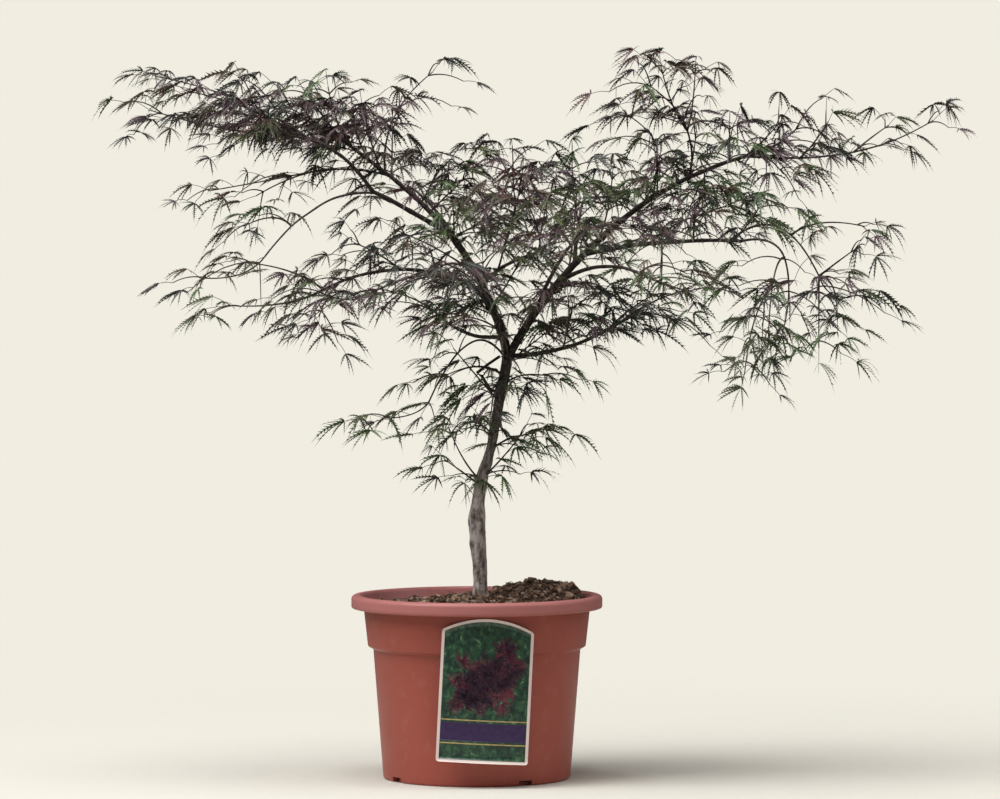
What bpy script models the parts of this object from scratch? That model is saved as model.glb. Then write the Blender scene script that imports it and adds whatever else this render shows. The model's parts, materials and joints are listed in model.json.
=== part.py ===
"""A laceleaf Japanese maple in a round nursery pot, with a card label hung on the pot's collar.

The pot is a turned shell, the soil fills it, and a leaning trunk forks into tapering boughs. Each bough
carries one mass of foliage: a stem with pairs of twigs, and a five-lobed leaf on the end of each twig.

Lengths are metres and +Z is up. The origin is the centre of the pot's flat underside, and the plant's
widest spread lies along X, with its front towards -Y.
"""

import math
import random
from collections import namedtuple

import bmesh
import bpy
from mathutils import Matrix, Vector
from mathutils.bvhtree import BVHTree
from mathutils.kdtree import KDTree

PART_COLLECTION = "potted_japanese_maple"
CUTTER_COLLECTION = "cutters"
WORK_COLLECTION = "pieces_to_join"
CLEARANCE = 0.0003
WELD = 0.00001
FINE_WELD = 0.000001
UP = Vector((0.0, 0.0, 1.0))
STEEP = 0.1

# Pot: a tapering body, a wider collar above a step, and a rolled lip.
POT_HEIGHT = 0.2046
POT_WALL = 0.002
POT_FLOOR = 0.004
BASE_RADIUS = 0.1045
BASE_ROUNDING = 0.002
BODY_TOP_RADIUS = 0.1155
BODY_TOP = 0.1445
STEP_RISE = 0.0035
COLLAR_FOOT_RADIUS = 0.1215
COLLAR_TOP_RADIUS = 0.1262
LIP_RADIUS = 0.140
LIP_DEPTH = 0.0145
LIP_ROUNDING = 0.0045
LIP_INNER_RADIUS = 0.1285
POT_STEPS = 40

# Drainage notches through the foot of the wall, by their angle from the front towards +X.
NOTCH_ANGLES = (-58, 31, 121, 211)
NOTCH_WIDTH = 0.017
NOTCH_HEIGHT = 0.006
NOTCH_DEPTH = 0.014

# Soil: low at the left, level under the trunk, and heaped at the back right.
SOIL_LEVEL = 0.191
SOIL_EDGE = 0.006
SOIL_GAP = 0.0012
SOIL_RINGS = 5
SOIL_STEPS = 30
SEAT_RADIUS = 0.021
SEAT_SLOPE_WIDTH = 0.034
MOUND_CENTRE = Vector((0.066, 0.038))
MOUND_HEIGHT = 0.0235
MOUND_WIDTH = 0.060
RIPPLE_HEIGHT = 0.0012
RIPPLE_LENGTH = 0.019

# Label: a thin card, arched at its top, that leans a little and hangs on the front of the collar.
LABEL_WIDTH = 0.101
LABEL_SHOULDER = 0.145
LABEL_ARCH = 0.0135
LABEL_THICKNESS = 0.0006
LABEL_BEND_RADIUS = 0.25
LABEL_FOOT = 0.0285
LABEL_TURN = 2.6
LABEL_LEAN = 2.9
LABEL_COLUMNS = 8
LABEL_ROWS = 2

# Trunk: height, sideways place and radius of each ring from the foot to the fork.
TRUNK_FOOT = 0.2020
TRUNK_STATIONS = (
    (TRUNK_FOOT, 0.0042, 0.0090),
    (0.2065, 0.0041, 0.0080),
    (0.2180, 0.0043, 0.0077),
    (0.2400, 0.0034, 0.0079),
    (0.2560, 0.0020, 0.0087),
    (0.2700, 0.0010, 0.0090),
    (0.2850, 0.0003, 0.0094),
    (0.2960, 0.0006, 0.0088),
    (0.3060, 0.0012, 0.0072),
    (0.3200, 0.0031, 0.0068),
    (0.3340, 0.0050, 0.0065),
    (0.3467, 0.0090, 0.0056),
    (0.3572, 0.0124, 0.0054),
    (0.3717, 0.0168, 0.0053),
    (0.3926, 0.0202, 0.0054),
    (0.4200, 0.0244, 0.0055),
    (0.4560, 0.0318, 0.0058),
    (0.4750, 0.0340, 0.0058),
)
TRUNK_BEVEL = 3

# Boughs: where each starts on its parent, where it ends, how far its middle bows off the straight
# line, and its radius at both ends. A parent comes before the boughs that leave it, and a bough's
# node is its name with the ending.
BOUGH_ENDING = "_bough"
Bough = namedtuple("Bough", "name parent share tip bow thick thin")
BOUGHS = (
    Bough("left", "trunk", 1.0, (-0.035, 0.010, 0.613), (0.008, 0, 0.004), 0.0050, 0.0036),
    Bough("right", "trunk", 0.97, (0.138, -0.005, 0.602), (-0.005, 0, 0.006), 0.0050, 0.0036),
    Bough("left_upper", "left", 1.0, (-0.142, 0.045, 0.705), (0.016, -0.004, -0.008), 0.0032, 0.0019),
    Bough("left_long", "left", 0.94, (-0.118, -0.018, 0.655), (0, 0, 0.002), 0.0030, 0.0023),
    Bough("left_far", "left_long", 1.0, (-0.216, -0.040, 0.716), (0.006, 0, 0.015), 0.0022, 0.0014),
    Bough("left_arching", "left_long", 0.93, (-0.232, -0.100, 0.582), (-0.002, 0.004, 0.021), 0.0019, 0.0013),
    Bough("left_middle", "left_upper", 0.62, (-0.200, 0.095, 0.674), (0, 0, 0.006), 0.0018, 0.0013),
    Bough("left_upright", "left_upper", 0.66, (-0.090, 0.050, 0.743), (-0.006, 0, 0), 0.0018, 0.0012),
    Bough("left_low", "left", 0.46, (-0.178, -0.048, 0.541), (0, 0.005, 0.026), 0.0026, 0.0014),
    Bough("left_low_inner", "left_low", 0.34, (-0.120, -0.130, 0.540), (0, 0, 0.003), 0.0019, 0.0013),
    Bough("left_inner", "left", 0.12, (-0.044, 0.080, 0.515), (-0.004, 0, -0.008), 0.0024, 0.0014),
    Bough("left_hanging", "trunk", 0.97, (-0.053, -0.060, 0.421), (0.002, 0.008, 0.042), 0.0018, 0.0012),
    Bough("right_upper", "right", 1.0, (0.310, 0.030, 0.696), (-0.006, 0, 0.011), 0.0034, 0.0020),
    Bough("right_long", "right_upper", 0.95, (0.452, 0.045, 0.706), (0.004, 0, -0.007), 0.0019, 0.0013),
    Bough("right_upright", "right_upper", 0.60, (0.232, 0.004, 0.728), (0.006, 0, -0.002), 0.0020, 0.0013),
    Bough("right_inner", "right_upper", 0.37, (0.199, -0.050, 0.699), (0.002, 0, 0), 0.0018, 0.0013),
    Bough("right_level", "right", 0.85, (0.292, -0.045, 0.599), (0, 0, 0.006), 0.0028, 0.0020),
    Bough("right_hanging", "right_level", 1.0, (0.343, -0.080, 0.551), (0.013, 0, 0.018), 0.0019, 0.0013),
    Bough("right_drooping", "right_level", 0.93, (0.385, 0.020, 0.553), (0.004, -0.004, 0.037), 0.0018, 0.0012),
    Bough("right_middle", "right_level", 0.42, (0.251, 0.070, 0.628), (0, 0, 0.004), 0.0018, 0.0013),
    Bough("right_mid", "right", 0.60, (0.188, -0.120, 0.560), (0, 0, 0.015), 0.0025, 0.0015),
    Bough("right_low", "trunk", 0.985, (0.167, 0.080, 0.510), (0.003, 0, -0.010), 0.0028, 0.0016),
    Bough("centre", "left", 0.52, (0.063, -0.090, 0.585), (-0.003, 0, 0.004), 0.0024, 0.0014),
    Bough("centre_upright", "centre", 0.36, (0.042, 0.004, 0.632), (0, -0.006, 0), 0.0017, 0.0012),
    Bough("front_left", "left", 0.22, (-0.030, -0.175, 0.560), (0, 0, 0.014), 0.0024, 0.0014),
    Bough("front_right", "right", 0.34, (0.110, -0.185, 0.606), (0, 0, 0.008), 0.0024, 0.0014),
    Bough("back_left", "left", 0.80, (-0.070, 0.180, 0.655), (0, 0, 0.006), 0.0024, 0.0014),
    Bough("back_right", "right", 0.76, (0.120, 0.180, 0.640), (0, 0, 0.008), 0.0024, 0.0014),
)
BOUGH_SPANS = 6
BOUGH_BEVEL = 1

# The crown's furthest reach to each side, and its lowest and highest leaf tips.
CROWN_LOW = (-0.426, -0.345, 0.325)
CROWN_HIGH = (0.567, 0.345, 0.823)

# Foliage masses: the limb that carries each, how far along it (1 is its tip), where the mass's stem
# ends, how far its twigs spread, and how many pairs of them it has.
Mass = namedtuple("Mass", "name limb share tip spread pairs")
MASSES = (
    Mass("left_far_foliage", "left_far", 1.0, (-0.362, -0.030, 0.744), 0.083, 6),
    Mass("left_upper_foliage", "left_upper", 1.0, (-0.238, 0.075, 0.752), 0.070, 5),
    Mass("left_upright_foliage", "left_upright", 1.0, (-0.050, 0.058, 0.788), 0.062, 4),
    Mass("left_middle_foliage", "left_middle", 1.0, (-0.305, 0.130, 0.655), 0.069, 4),
    Mass("left_arching_foliage", "left_arching", 1.0, (-0.300, -0.155, 0.560), 0.069, 4),
    Mass("left_low_foliage", "left_low", 1.0, (-0.272, -0.058, 0.528), 0.065, 5),
    Mass("left_low_inner_foliage", "left_low_inner", 1.0, (-0.168, -0.205, 0.545), 0.069, 4),
    Mass("left_inner_foliage", "left_inner", 1.0, (-0.100, 0.160, 0.540), 0.073, 5),
    Mass("left_hanging_foliage", "left_hanging", 1.0, (-0.102, -0.085, 0.405), 0.053, 3),
    Mass("right_upper_foliage", "right_upper", 1.0, (0.362, 0.060, 0.728), 0.069, 5),
    Mass("right_tip_foliage", "right_long", 1.0, (0.512, 0.052, 0.734), 0.036, 4),
    Mass("right_upright_foliage", "right_upright", 1.0, (0.188, -0.005, 0.774), 0.083, 5),
    Mass("right_inner_foliage", "right_inner", 1.0, (0.165, -0.090, 0.738), 0.065, 4),
    Mass("right_hanging_foliage", "right_hanging", 1.0, (0.332, -0.110, 0.490), 0.056, 4),
    Mass("right_drooping_foliage", "right_drooping", 1.0, (0.418, 0.055, 0.535), 0.069, 5),
    Mass("right_middle_foliage", "right_middle", 1.0, (0.300, 0.145, 0.645), 0.075, 5),
    Mass("right_mid_foliage", "right_mid", 1.0, (0.235, -0.185, 0.545), 0.073, 5),
    Mass("right_low_foliage", "right_low", 1.0, (0.225, 0.130, 0.508), 0.070, 5),
    Mass("centre_foliage", "centre", 1.0, (0.045, -0.135, 0.662), 0.065, 5),
    Mass("centre_upright_foliage", "centre_upright", 1.0, (0.020, 0.045, 0.700), 0.073, 5),
    Mass("front_left_foliage", "front_left", 1.0, (-0.055, -0.255, 0.570), 0.075, 5),
    Mass("front_right_foliage", "front_right", 1.0, (0.135, -0.260, 0.615), 0.075, 5),
    Mass("back_left_foliage", "back_left", 1.0, (-0.095, 0.262, 0.655), 0.075, 5),
    Mass("back_right_foliage", "back_right", 1.0, (0.145, 0.262, 0.640), 0.075, 5),
    Mass("trunk_left_sprig", "trunk", 0.47, (-0.031, -0.020, 0.392), 0.036, 2),
    Mass("trunk_right_sprig", "trunk", 0.48, (0.052, -0.022, 0.388), 0.043, 3),
    Mass("trunk_left_foliage", "trunk", 0.90, (-0.040, 0.055, 0.445), 0.050, 3),
    Mass("trunk_right_foliage", "trunk", 0.86, (0.080, -0.050, 0.450), 0.050, 3),
)
STEM_SPANS = 5
STEM_BEVEL = 0
STEM_RUN_OUT = 0.42
SAMPLE_SPACING = 0.008
SPACE_OVERHANG = 0.018
STEM_THICK = 0.0016
STEM_THIN = 0.0013
STEM_SQUARE_OFF = 0.0032
SIDE_CLEARANCE = 0.0006
SIDE_RISE = 0.8

# Twigs leave the stem in pairs, each ends in a leaf, and all of them droop. Successive pairs turn about a
# steep stem and lie flat to both sides of a level one. A twig that touches something is tried again,
# shorter and at another angle.
TWIG_SEED = 1
TWIG_THICK = 0.0009
TWIG_THIN = 0.0008
PAIR_OFFSET = 0.0016
FIRST_PAIR_SHARE = 0.22
LAST_PAIR_SHARE = 0.84
TWIG_FORWARD = 48
FORWARD_VARIATION = 10
PAIR_TURN = 80
TURN_VARIATION = 25
TWIG_TAPER = 0.35
TWIG_DROOP = 0.30
LENGTH_VARIATION = 0.15
TWIG_TRIES = 14
SHORTEST_TRY = 0.4

# Leaf: the angle and reach of each lobe and of the notch that follows it, round from the middle lobe.
LEAF_LENGTH = 0.064
LEAF_OUTLINE = ((0, 1.0), (27, 0.22), (50, 0.90), (80, 0.19), (104, 0.60), (180, 0.10))
LEAF_HALF_THICKNESS = 0.0017
LEAF_ROOT = 0.0035
LEAF_DROOP = 0.30
DROOP_VARIATION = 0.4
LEAF_ROLL = 0.5
LOBE_DROOP = 0.22
SIZE_VARIATION = 0.14

COLOURS = {
    "pot": (0.352, 0.090, 0.068),
    "soil": (0.105, 0.055, 0.032),
    "plant_label": (0.62, 0.52, 0.50),
    "trunk": (0.125, 0.080, 0.066),
    "bough": (0.050, 0.034, 0.028),
    "foliage_purple": (0.070, 0.030, 0.032),
    "foliage_green": (0.045, 0.060, 0.030),
}
POT_ROUGHNESS = 0.42
LABEL_ROUGHNESS = 0.3
DULL_ROUGHNESS = 0.85
LEAF_ROUGHNESS = 0.6


def clear_scene():
    """Empty the scene, and add the collections for the parts, for the cutters and for pieces in work."""
    for thing in list(bpy.data.objects):
        bpy.data.objects.remove(thing, do_unlink=True)
    for name in (PART_COLLECTION, CUTTER_COLLECTION, WORK_COLLECTION):
        collection = bpy.data.collections.new(name)
        bpy.context.scene.collection.children.link(collection)


def material(name, colour, roughness):
    """A plain Principled material in one colour."""
    made = bpy.data.materials.new(name)
    made.use_nodes = True
    shader = made.node_tree.nodes["Principled BSDF"]
    shader.inputs["Base Color"].default_value = (*colour, 1.0)
    shader.inputs["Roughness"].default_value = roughness
    return made


def add_object(name, data, collection=PART_COLLECTION, look=None):
    """An object for a mesh or a curve, in the collection, with its material."""
    thing = bpy.data.objects.new(name, data)
    bpy.data.collections[collection].objects.link(thing)
    if look:
        data.materials.clear()
        data.materials.append(look)
    return thing


def mesh_from(work, name):
    """A mesh datablock from a bmesh, which is freed."""
    mesh = bpy.data.meshes.new(name)
    work.to_mesh(mesh)
    work.free()
    return mesh


def evaluated_mesh(thing):
    """A new mesh that holds the object as its modifiers or its bevel leave it."""
    bpy.context.view_layer.update()
    graph = bpy.context.evaluated_depsgraph_get()
    return bpy.data.meshes.new_from_object(thing.evaluated_get(graph))


def add_boolean(thing, cutter, operation="DIFFERENCE"):
    """Join or cut the object with another one."""
    change = thing.modifiers.new(cutter.name, "BOOLEAN")
    change.operation = operation
    change.solver = "EXACT"
    change.object = cutter


def as_cutter(thing):
    """Keep a helper out of renders, and draw it as wire."""
    thing.hide_render = True
    thing.display_type = "WIRE"
    return thing


def turned(name, profile, steps):
    """A profile in the XZ plane, turned once round Z by a Screw modifier."""
    work = bmesh.new()
    corners = [work.verts.new((radius, 0.0, height)) for radius, height in profile]
    for here, there in zip(corners, corners[1:]):
        work.edges.new((here, there))
    thing = add_object(name, mesh_from(work, name))
    turn = thing.modifiers.new("turn", "SCREW")
    turn.steps = steps
    turn.render_steps = steps
    turn.use_merge_vertices = True
    turn.merge_threshold = WELD
    return thing


def arc(centre, radius, first, last, count):
    """Points on an arc in the profile plane, from one angle to another."""
    points = []
    for index in range(count):
        angle = math.radians(first + (last - first) * index / (count - 1))
        points.append((centre[0] + radius * math.cos(angle), centre[1] + radius * math.sin(angle)))
    return points


def pot_bore():
    """The section of the pot's inside, from the rim of its floor up to the foot of the lip."""
    return [
        (BASE_RADIUS - POT_WALL, POT_FLOOR),
        (BODY_TOP_RADIUS - POT_WALL, BODY_TOP + STEP_RISE / 2),
        (COLLAR_FOOT_RADIUS - POT_WALL, BODY_TOP + STEP_RISE + POT_WALL / 2),
        (COLLAR_TOP_RADIUS - POT_WALL, POT_HEIGHT - LIP_DEPTH),
    ]


def pot_profile():
    """The pot's section: up the inside, over the lip, down the outside and in along the underside."""
    lip_foot = POT_HEIGHT - LIP_DEPTH
    rim = [
        (LIP_INNER_RADIUS, POT_HEIGHT - POT_WALL),
        (LIP_INNER_RADIUS + POT_WALL, POT_HEIGHT),
    ]
    shoulder = (LIP_RADIUS - LIP_ROUNDING, POT_HEIGHT - LIP_ROUNDING)
    heel = (LIP_RADIUS - LIP_ROUNDING / 2, lip_foot + LIP_ROUNDING / 2)
    lip = arc(shoulder, LIP_ROUNDING, 90, 0, 4) + arc(heel, LIP_ROUNDING / 2, 0, -90, 3)
    outside = [
        (COLLAR_TOP_RADIUS, lip_foot),
        (COLLAR_FOOT_RADIUS, BODY_TOP + STEP_RISE),
        (BODY_TOP_RADIUS, BODY_TOP),
        (BASE_RADIUS, BASE_ROUNDING),
        (BASE_RADIUS - BASE_ROUNDING, 0.0),
        (0.0, 0.0),
    ]
    return [(0.0, POT_FLOOR)] + pot_bore() + rim + lip + outside


def build_pot(look):
    """The turned shell, with its drainage notches cut through the foot of the wall."""
    pot = turned("pot", pot_profile(), POT_STEPS)
    pot.data.materials.append(look)
    for index, angle in enumerate(NOTCH_ANGLES):
        work = bmesh.new()
        bmesh.ops.create_cube(work, size=1.0)
        bmesh.ops.scale(work, vec=(NOTCH_WIDTH, NOTCH_DEPTH, 2 * NOTCH_HEIGHT), verts=work.verts)
        bmesh.ops.translate(work, vec=(0, -BASE_RADIUS, 0), verts=work.verts)
        name = f"notch_{index}"
        cutter = as_cutter(add_object(name, mesh_from(work, name), CUTTER_COLLECTION))
        cutter.rotation_euler.z = math.radians(angle)
        add_boolean(pot, cutter)


def bump(distance, width):
    """A smooth hump of height one that fades out over about two widths."""
    return math.exp(-((distance / width) ** 2))


def soil_height(x, y):
    """The height of the soil over a point of the floor plan."""
    foot = Vector((TRUNK_STATIONS[0][1], 0.0))
    seat = TRUNK_FOOT - CLEARANCE
    from_foot = (Vector((x, y)) - foot).length
    if from_foot <= SEAT_RADIUS + WELD:
        return seat
    from_mound = (Vector((x, y)) - MOUND_CENTRE).length
    heap = MOUND_HEIGHT * math.exp(-((from_mound / MOUND_WIDTH) ** 4))
    ripple = math.sin(x / RIPPLE_LENGTH * math.tau) * math.cos(y / RIPPLE_LENGTH * math.tau)
    ground = SOIL_LEVEL + heap + RIPPLE_HEIGHT * ripple
    return ground + (seat - ground) * bump(from_foot - SEAT_RADIUS, SEAT_SLOPE_WIDTH)


def build_soil(look):
    """A plug that fills the pot, with a level seat for the trunk and an uneven top."""
    sides = [(radius - SOIL_GAP, height) for radius, height in pot_bore()]
    floor, body_top, collar_foot, collar_top = sides
    edge = collar_top[0]
    profile = [(0.0, SOIL_LEVEL)]
    profile += [(edge * ring / SOIL_RINGS, SOIL_LEVEL) for ring in range(1, SOIL_RINGS + 1)]
    profile += [
        (edge, SOIL_LEVEL - SOIL_EDGE),
        (collar_foot[0], collar_foot[1] + SOIL_GAP),
        (body_top[0], body_top[1] + SOIL_GAP),
        (floor[0], floor[1] + CLEARANCE),
        (0.0, floor[1] + CLEARANCE),
    ]
    blank = turned("soil", profile, SOIL_STEPS)
    mesh = evaluated_mesh(blank)
    bpy.data.objects.remove(blank)
    for corner in mesh.vertices:
        if corner.co.z > SOIL_LEVEL - WELD:
            corner.co.z = soil_height(corner.co.x, corner.co.y)
    add_object("soil", mesh, look=look)


def build_label(look):
    """A card with an arched top, bent a little round the pot, thickened by Solidify. Its top rests on the
    collar."""
    work = bmesh.new()
    bmesh.ops.create_grid(work, x_segments=LABEL_COLUMNS, y_segments=LABEL_ROWS, size=0.5)
    lean = math.radians(LABEL_LEAN)
    for corner in work.verts:
        side = corner.co.x * LABEL_WIDTH
        rise = LABEL_SHOULDER + LABEL_ARCH * (1 - (2 * corner.co.x) ** 2)
        along = (corner.co.y + 0.5) * rise
        across = side * math.cos(lean) + along * math.sin(lean)
        height = LABEL_FOOT + along * math.cos(lean) - side * math.sin(lean)
        back = across**2 / (2 * LABEL_BEND_RADIUS)
        corner.co = (across, back, height)
    bmesh.ops.recalc_face_normals(work, faces=work.faces)
    card = add_object("plant_label", mesh_from(work, "plant_label"), look=look)
    thicken = card.modifiers.new("thickness", "SOLIDIFY")
    thicken.thickness = LABEL_THICKNESS
    thicken.offset = 0.0
    turn = Matrix.Rotation(math.radians(LABEL_TURN), 4, "Z")
    reach = COLLAR_TOP_RADIUS + CLEARANCE + LABEL_THICKNESS / 2
    card.matrix_world = turn @ Matrix.Translation((0, -reach, 0))


def bezier(start, control, tip, spans):
    """Points of a quadratic curve."""
    points = []
    for index in range(spans + 1):
        share = index / spans
        middle = control * 2 * share * (1 - share)
        points.append(start * (1 - share) ** 2 + middle + tip * share**2)
    return points


def tapering(thick, thin, count):
    """Radii that change evenly from one end to the other."""
    return [thick + (thin - thick) * index / (count - 1) for index in range(count)]


def point_along(points, share):
    """The place, the direction and the share of the polyline's own spacing at a share of its length."""
    lengths = [(there - here).length for here, there in zip(points, points[1:])]
    left = share * sum(lengths)
    for index, length in enumerate(lengths):
        if left <= length or index == len(lengths) - 1:
            part = min(left / length, 1.0)
            way = (points[index + 1] - points[index]).normalized()
            return points[index].lerp(points[index + 1], part), way, (index + part) / len(lengths)
        left -= length


def tapered(name, points, radii, bevel, collection):
    """A tube of changing radius along the points, as a mesh with its caps welded on."""
    curve = bpy.data.curves.new(name, "CURVE")
    curve.dimensions = "3D"
    curve.bevel_depth = 1.0
    curve.bevel_resolution = bevel
    curve.use_fill_caps = True
    spline = curve.splines.new("POLY")
    spline.points.add(len(points) - 1)
    for knot, point, radius in zip(spline.points, points, radii):
        knot.co = (*point, 1.0)
        knot.radius = radius
    guide = add_object(name, curve, WORK_COLLECTION)
    mesh = evaluated_mesh(guide)
    bpy.data.objects.remove(guide)
    bpy.data.curves.remove(curve)
    work = bmesh.new()
    work.from_mesh(mesh)
    bmesh.ops.remove_doubles(work, verts=work.verts, dist=WELD)
    bmesh.ops.recalc_face_normals(work, faces=work.faces)
    bpy.data.meshes.remove(mesh)
    mesh = mesh_from(work, name)
    mesh.shade_smooth()
    return add_object(name, mesh, collection)


def with_clearance(name, points, radii, bevel):
    """A limb's cutter: the limb, fatter and longer by the clearance."""
    tip = points[-1] + (points[-1] - points[-2]).normalized() * CLEARANCE
    fatter = [radius + CLEARANCE for radius in radii]
    return as_cutter(tapered(name, points[:-1] + [tip], fatter, bevel, CUTTER_COLLECTION))


def tree_of(thing):
    """A tree of the object's faces, for overlap tests."""
    work = bmesh.new()
    work.from_mesh(thing.data)
    tree = BVHTree.FromBMesh(work)
    work.free()
    return tree


def build_limbs(trunk_look, bough_look):
    """The trunk and its boughs, each cut clear of the limbs before it. Returns what the foliage needs."""
    points = [Vector((sideways, 0.0, height)) for height, sideways, _ in TRUNK_STATIONS]
    radii = [radius for _, _, radius in TRUNK_STATIONS]
    limbs = {"trunk": (points, radii)}
    trunk = tapered("trunk", points, radii, TRUNK_BEVEL, PART_COLLECTION)
    trunk.data.materials.append(trunk_look)
    cutters = {"trunk": with_clearance("around_trunk", points, radii, TRUNK_BEVEL)}
    for bough in BOUGHS:
        start, _, _ = point_along(limbs[bough.parent][0], bough.share)
        tip = Vector(bough.tip)
        control = (start + tip) / 2 + 2 * Vector(bough.bow)
        points = bezier(start, control, tip, BOUGH_SPANS)
        radii = tapering(bough.thick, bough.thin, len(points))
        node = bough.name + BOUGH_ENDING
        thing = tapered(node, points, radii, BOUGH_BEVEL, PART_COLLECTION)
        thing.data.materials.append(bough_look)
        tree = tree_of(thing)
        for cutter in cutters.values():
            if tree.overlap(tree_of(cutter)):
                add_boolean(thing, cutter)
        limbs[bough.name] = (points, radii)
        cutters[bough.name] = with_clearance("around_" + node, points, radii, BOUGH_BEVEL)
    return limbs, [tree_of(cutter) for cutter in cutters.values()]


def stem_route(mass, limbs):
    """The stem's points, from just clear of its limb. It leaves a bough's tip in line with the bough, and
    a limb's side outwards and up."""
    points, radii = limbs[mass.limb]
    place, way, spot = point_along(points, mass.share)
    tip = Vector(mass.tip)
    if mass.share == 1.0:
        start = place + way * CLEARANCE
    else:
        low, part = divmod(spot * (len(radii) - 1), 1)
        radius = radii[int(low)] + (radii[int(low) + 1] - radii[int(low)]) * part
        level = Vector((tip.x - place.x, tip.y - place.y, 0.0)).normalized()
        way = (level + UP * SIDE_RISE).normalized()
        start = place + level * (radius + STEM_THICK * way.z + SIDE_CLEARANCE)
    control = start + way * STEM_RUN_OUT * (tip - start).length
    route = bezier(start, control, tip, STEM_SPANS)
    square_off = start + way * STEM_SQUARE_OFF
    return [start, square_off] + route[1:]


class Spaces:
    """Shares the room round the stems out among the masses: a point is its nearest stem's."""

    def __init__(self, routes):
        self.trees = {}
        for name, route in routes.items():
            samples = samples_along(route)
            tree = KDTree(len(samples))
            for index, sample in enumerate(samples):
                tree.insert(sample, index)
            tree.balance()
            self.trees[name] = tree

    def holds(self, name, corners):
        """Whether no corner is nearer to another stem than to the named one by more than the overhang."""
        others = [tree for other, tree in self.trees.items() if other != name]
        for corner in corners:
            reach = self.trees[name].find(corner)[2] - SPACE_OVERHANG
            if any(tree.find(corner)[2] < reach for tree in others):
                return False
        return True


def samples_along(route):
    """Points at an even spacing along a route."""
    length = sum((there - here).length for here, there in zip(route, route[1:]))
    count = max(2, int(length / SAMPLE_SPACING))
    return [point_along(route, index / count)[0] for index in range(count + 1)]


def frame_along(way, roll):
    """Axes with X along the way and Z as near to up as the roll about X leaves it."""
    side = UP.cross(way)
    if side.length < STEEP:
        side = Vector((0.0, 1.0, 0.0))
    side.normalize()
    lift = way.cross(side)
    turned_axes = Matrix((way, side, lift)).transposed().to_4x4()
    return turned_axes @ Matrix.Rotation(roll, 4, "X")


def leaf_shape():
    """A flat double cone whose rim is drawn out into five drooping lobes, pointing along +X."""
    half = [(math.radians(angle), reach) for angle, reach in LEAF_OUTLINE]
    rim = half + [(-angle, reach) for angle, reach in reversed(half[1:-1])]
    work = bmesh.new()
    bmesh.ops.create_uvsphere(work, u_segments=len(rim), v_segments=2, radius=1.0)
    ring = [corner for corner in work.verts if abs(corner.co.z) < WELD]
    ring.sort(key=lambda corner: math.atan2(corner.co.y, corner.co.x) % math.tau)
    for corner, (angle, reach) in zip(ring, rim):
        corner.co = (reach * math.cos(angle), reach * math.sin(angle), -LOBE_DROOP * reach**2)
    for corner in work.verts:
        if corner not in ring:
            corner.co.z *= LEAF_HALF_THICKNESS / LEAF_LENGTH
    return mesh_from(work, "leaf_shape")


def leaf_piece(place, way, roll, size, shape):
    """A leaf whose lobes spread from the place, with its middle lobe along the way."""
    work = bmesh.new()
    work.from_mesh(shape)
    length = LEAF_LENGTH * size
    bmesh.ops.scale(work, vec=(length, length, LEAF_LENGTH), verts=work.verts)
    lay = Matrix.Translation(place) @ frame_along(way, roll)
    bmesh.ops.transform(work, matrix=lay, verts=work.verts)
    return work


def twig_piece(start, end):
    """A three-sided twig that thins towards its end."""
    work = bmesh.new()
    run = end - start
    bmesh.ops.create_cone(
        work, cap_ends=True, segments=3, radius1=TWIG_THICK, radius2=TWIG_THIN, depth=run.length
    )
    lay = run.to_track_quat("Z", "Y").to_matrix().to_4x4()
    bmesh.ops.transform(work, matrix=Matrix.Translation((start + end) / 2) @ lay, verts=work.verts)
    return work


def around_one(rng, variation):
    """A random factor on either side of one."""
    return rng.uniform(1 - variation, 1 + variation)


def drooped(way, amount):
    """A direction bent down by an amount."""
    return (way - UP * amount).normalized()


def in_crown(corner):
    """Whether the corner lies inside the box that the whole crown fills."""
    return all(low <= value <= high for low, value, high in zip(CROWN_LOW, corner, CROWN_HIGH))


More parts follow.
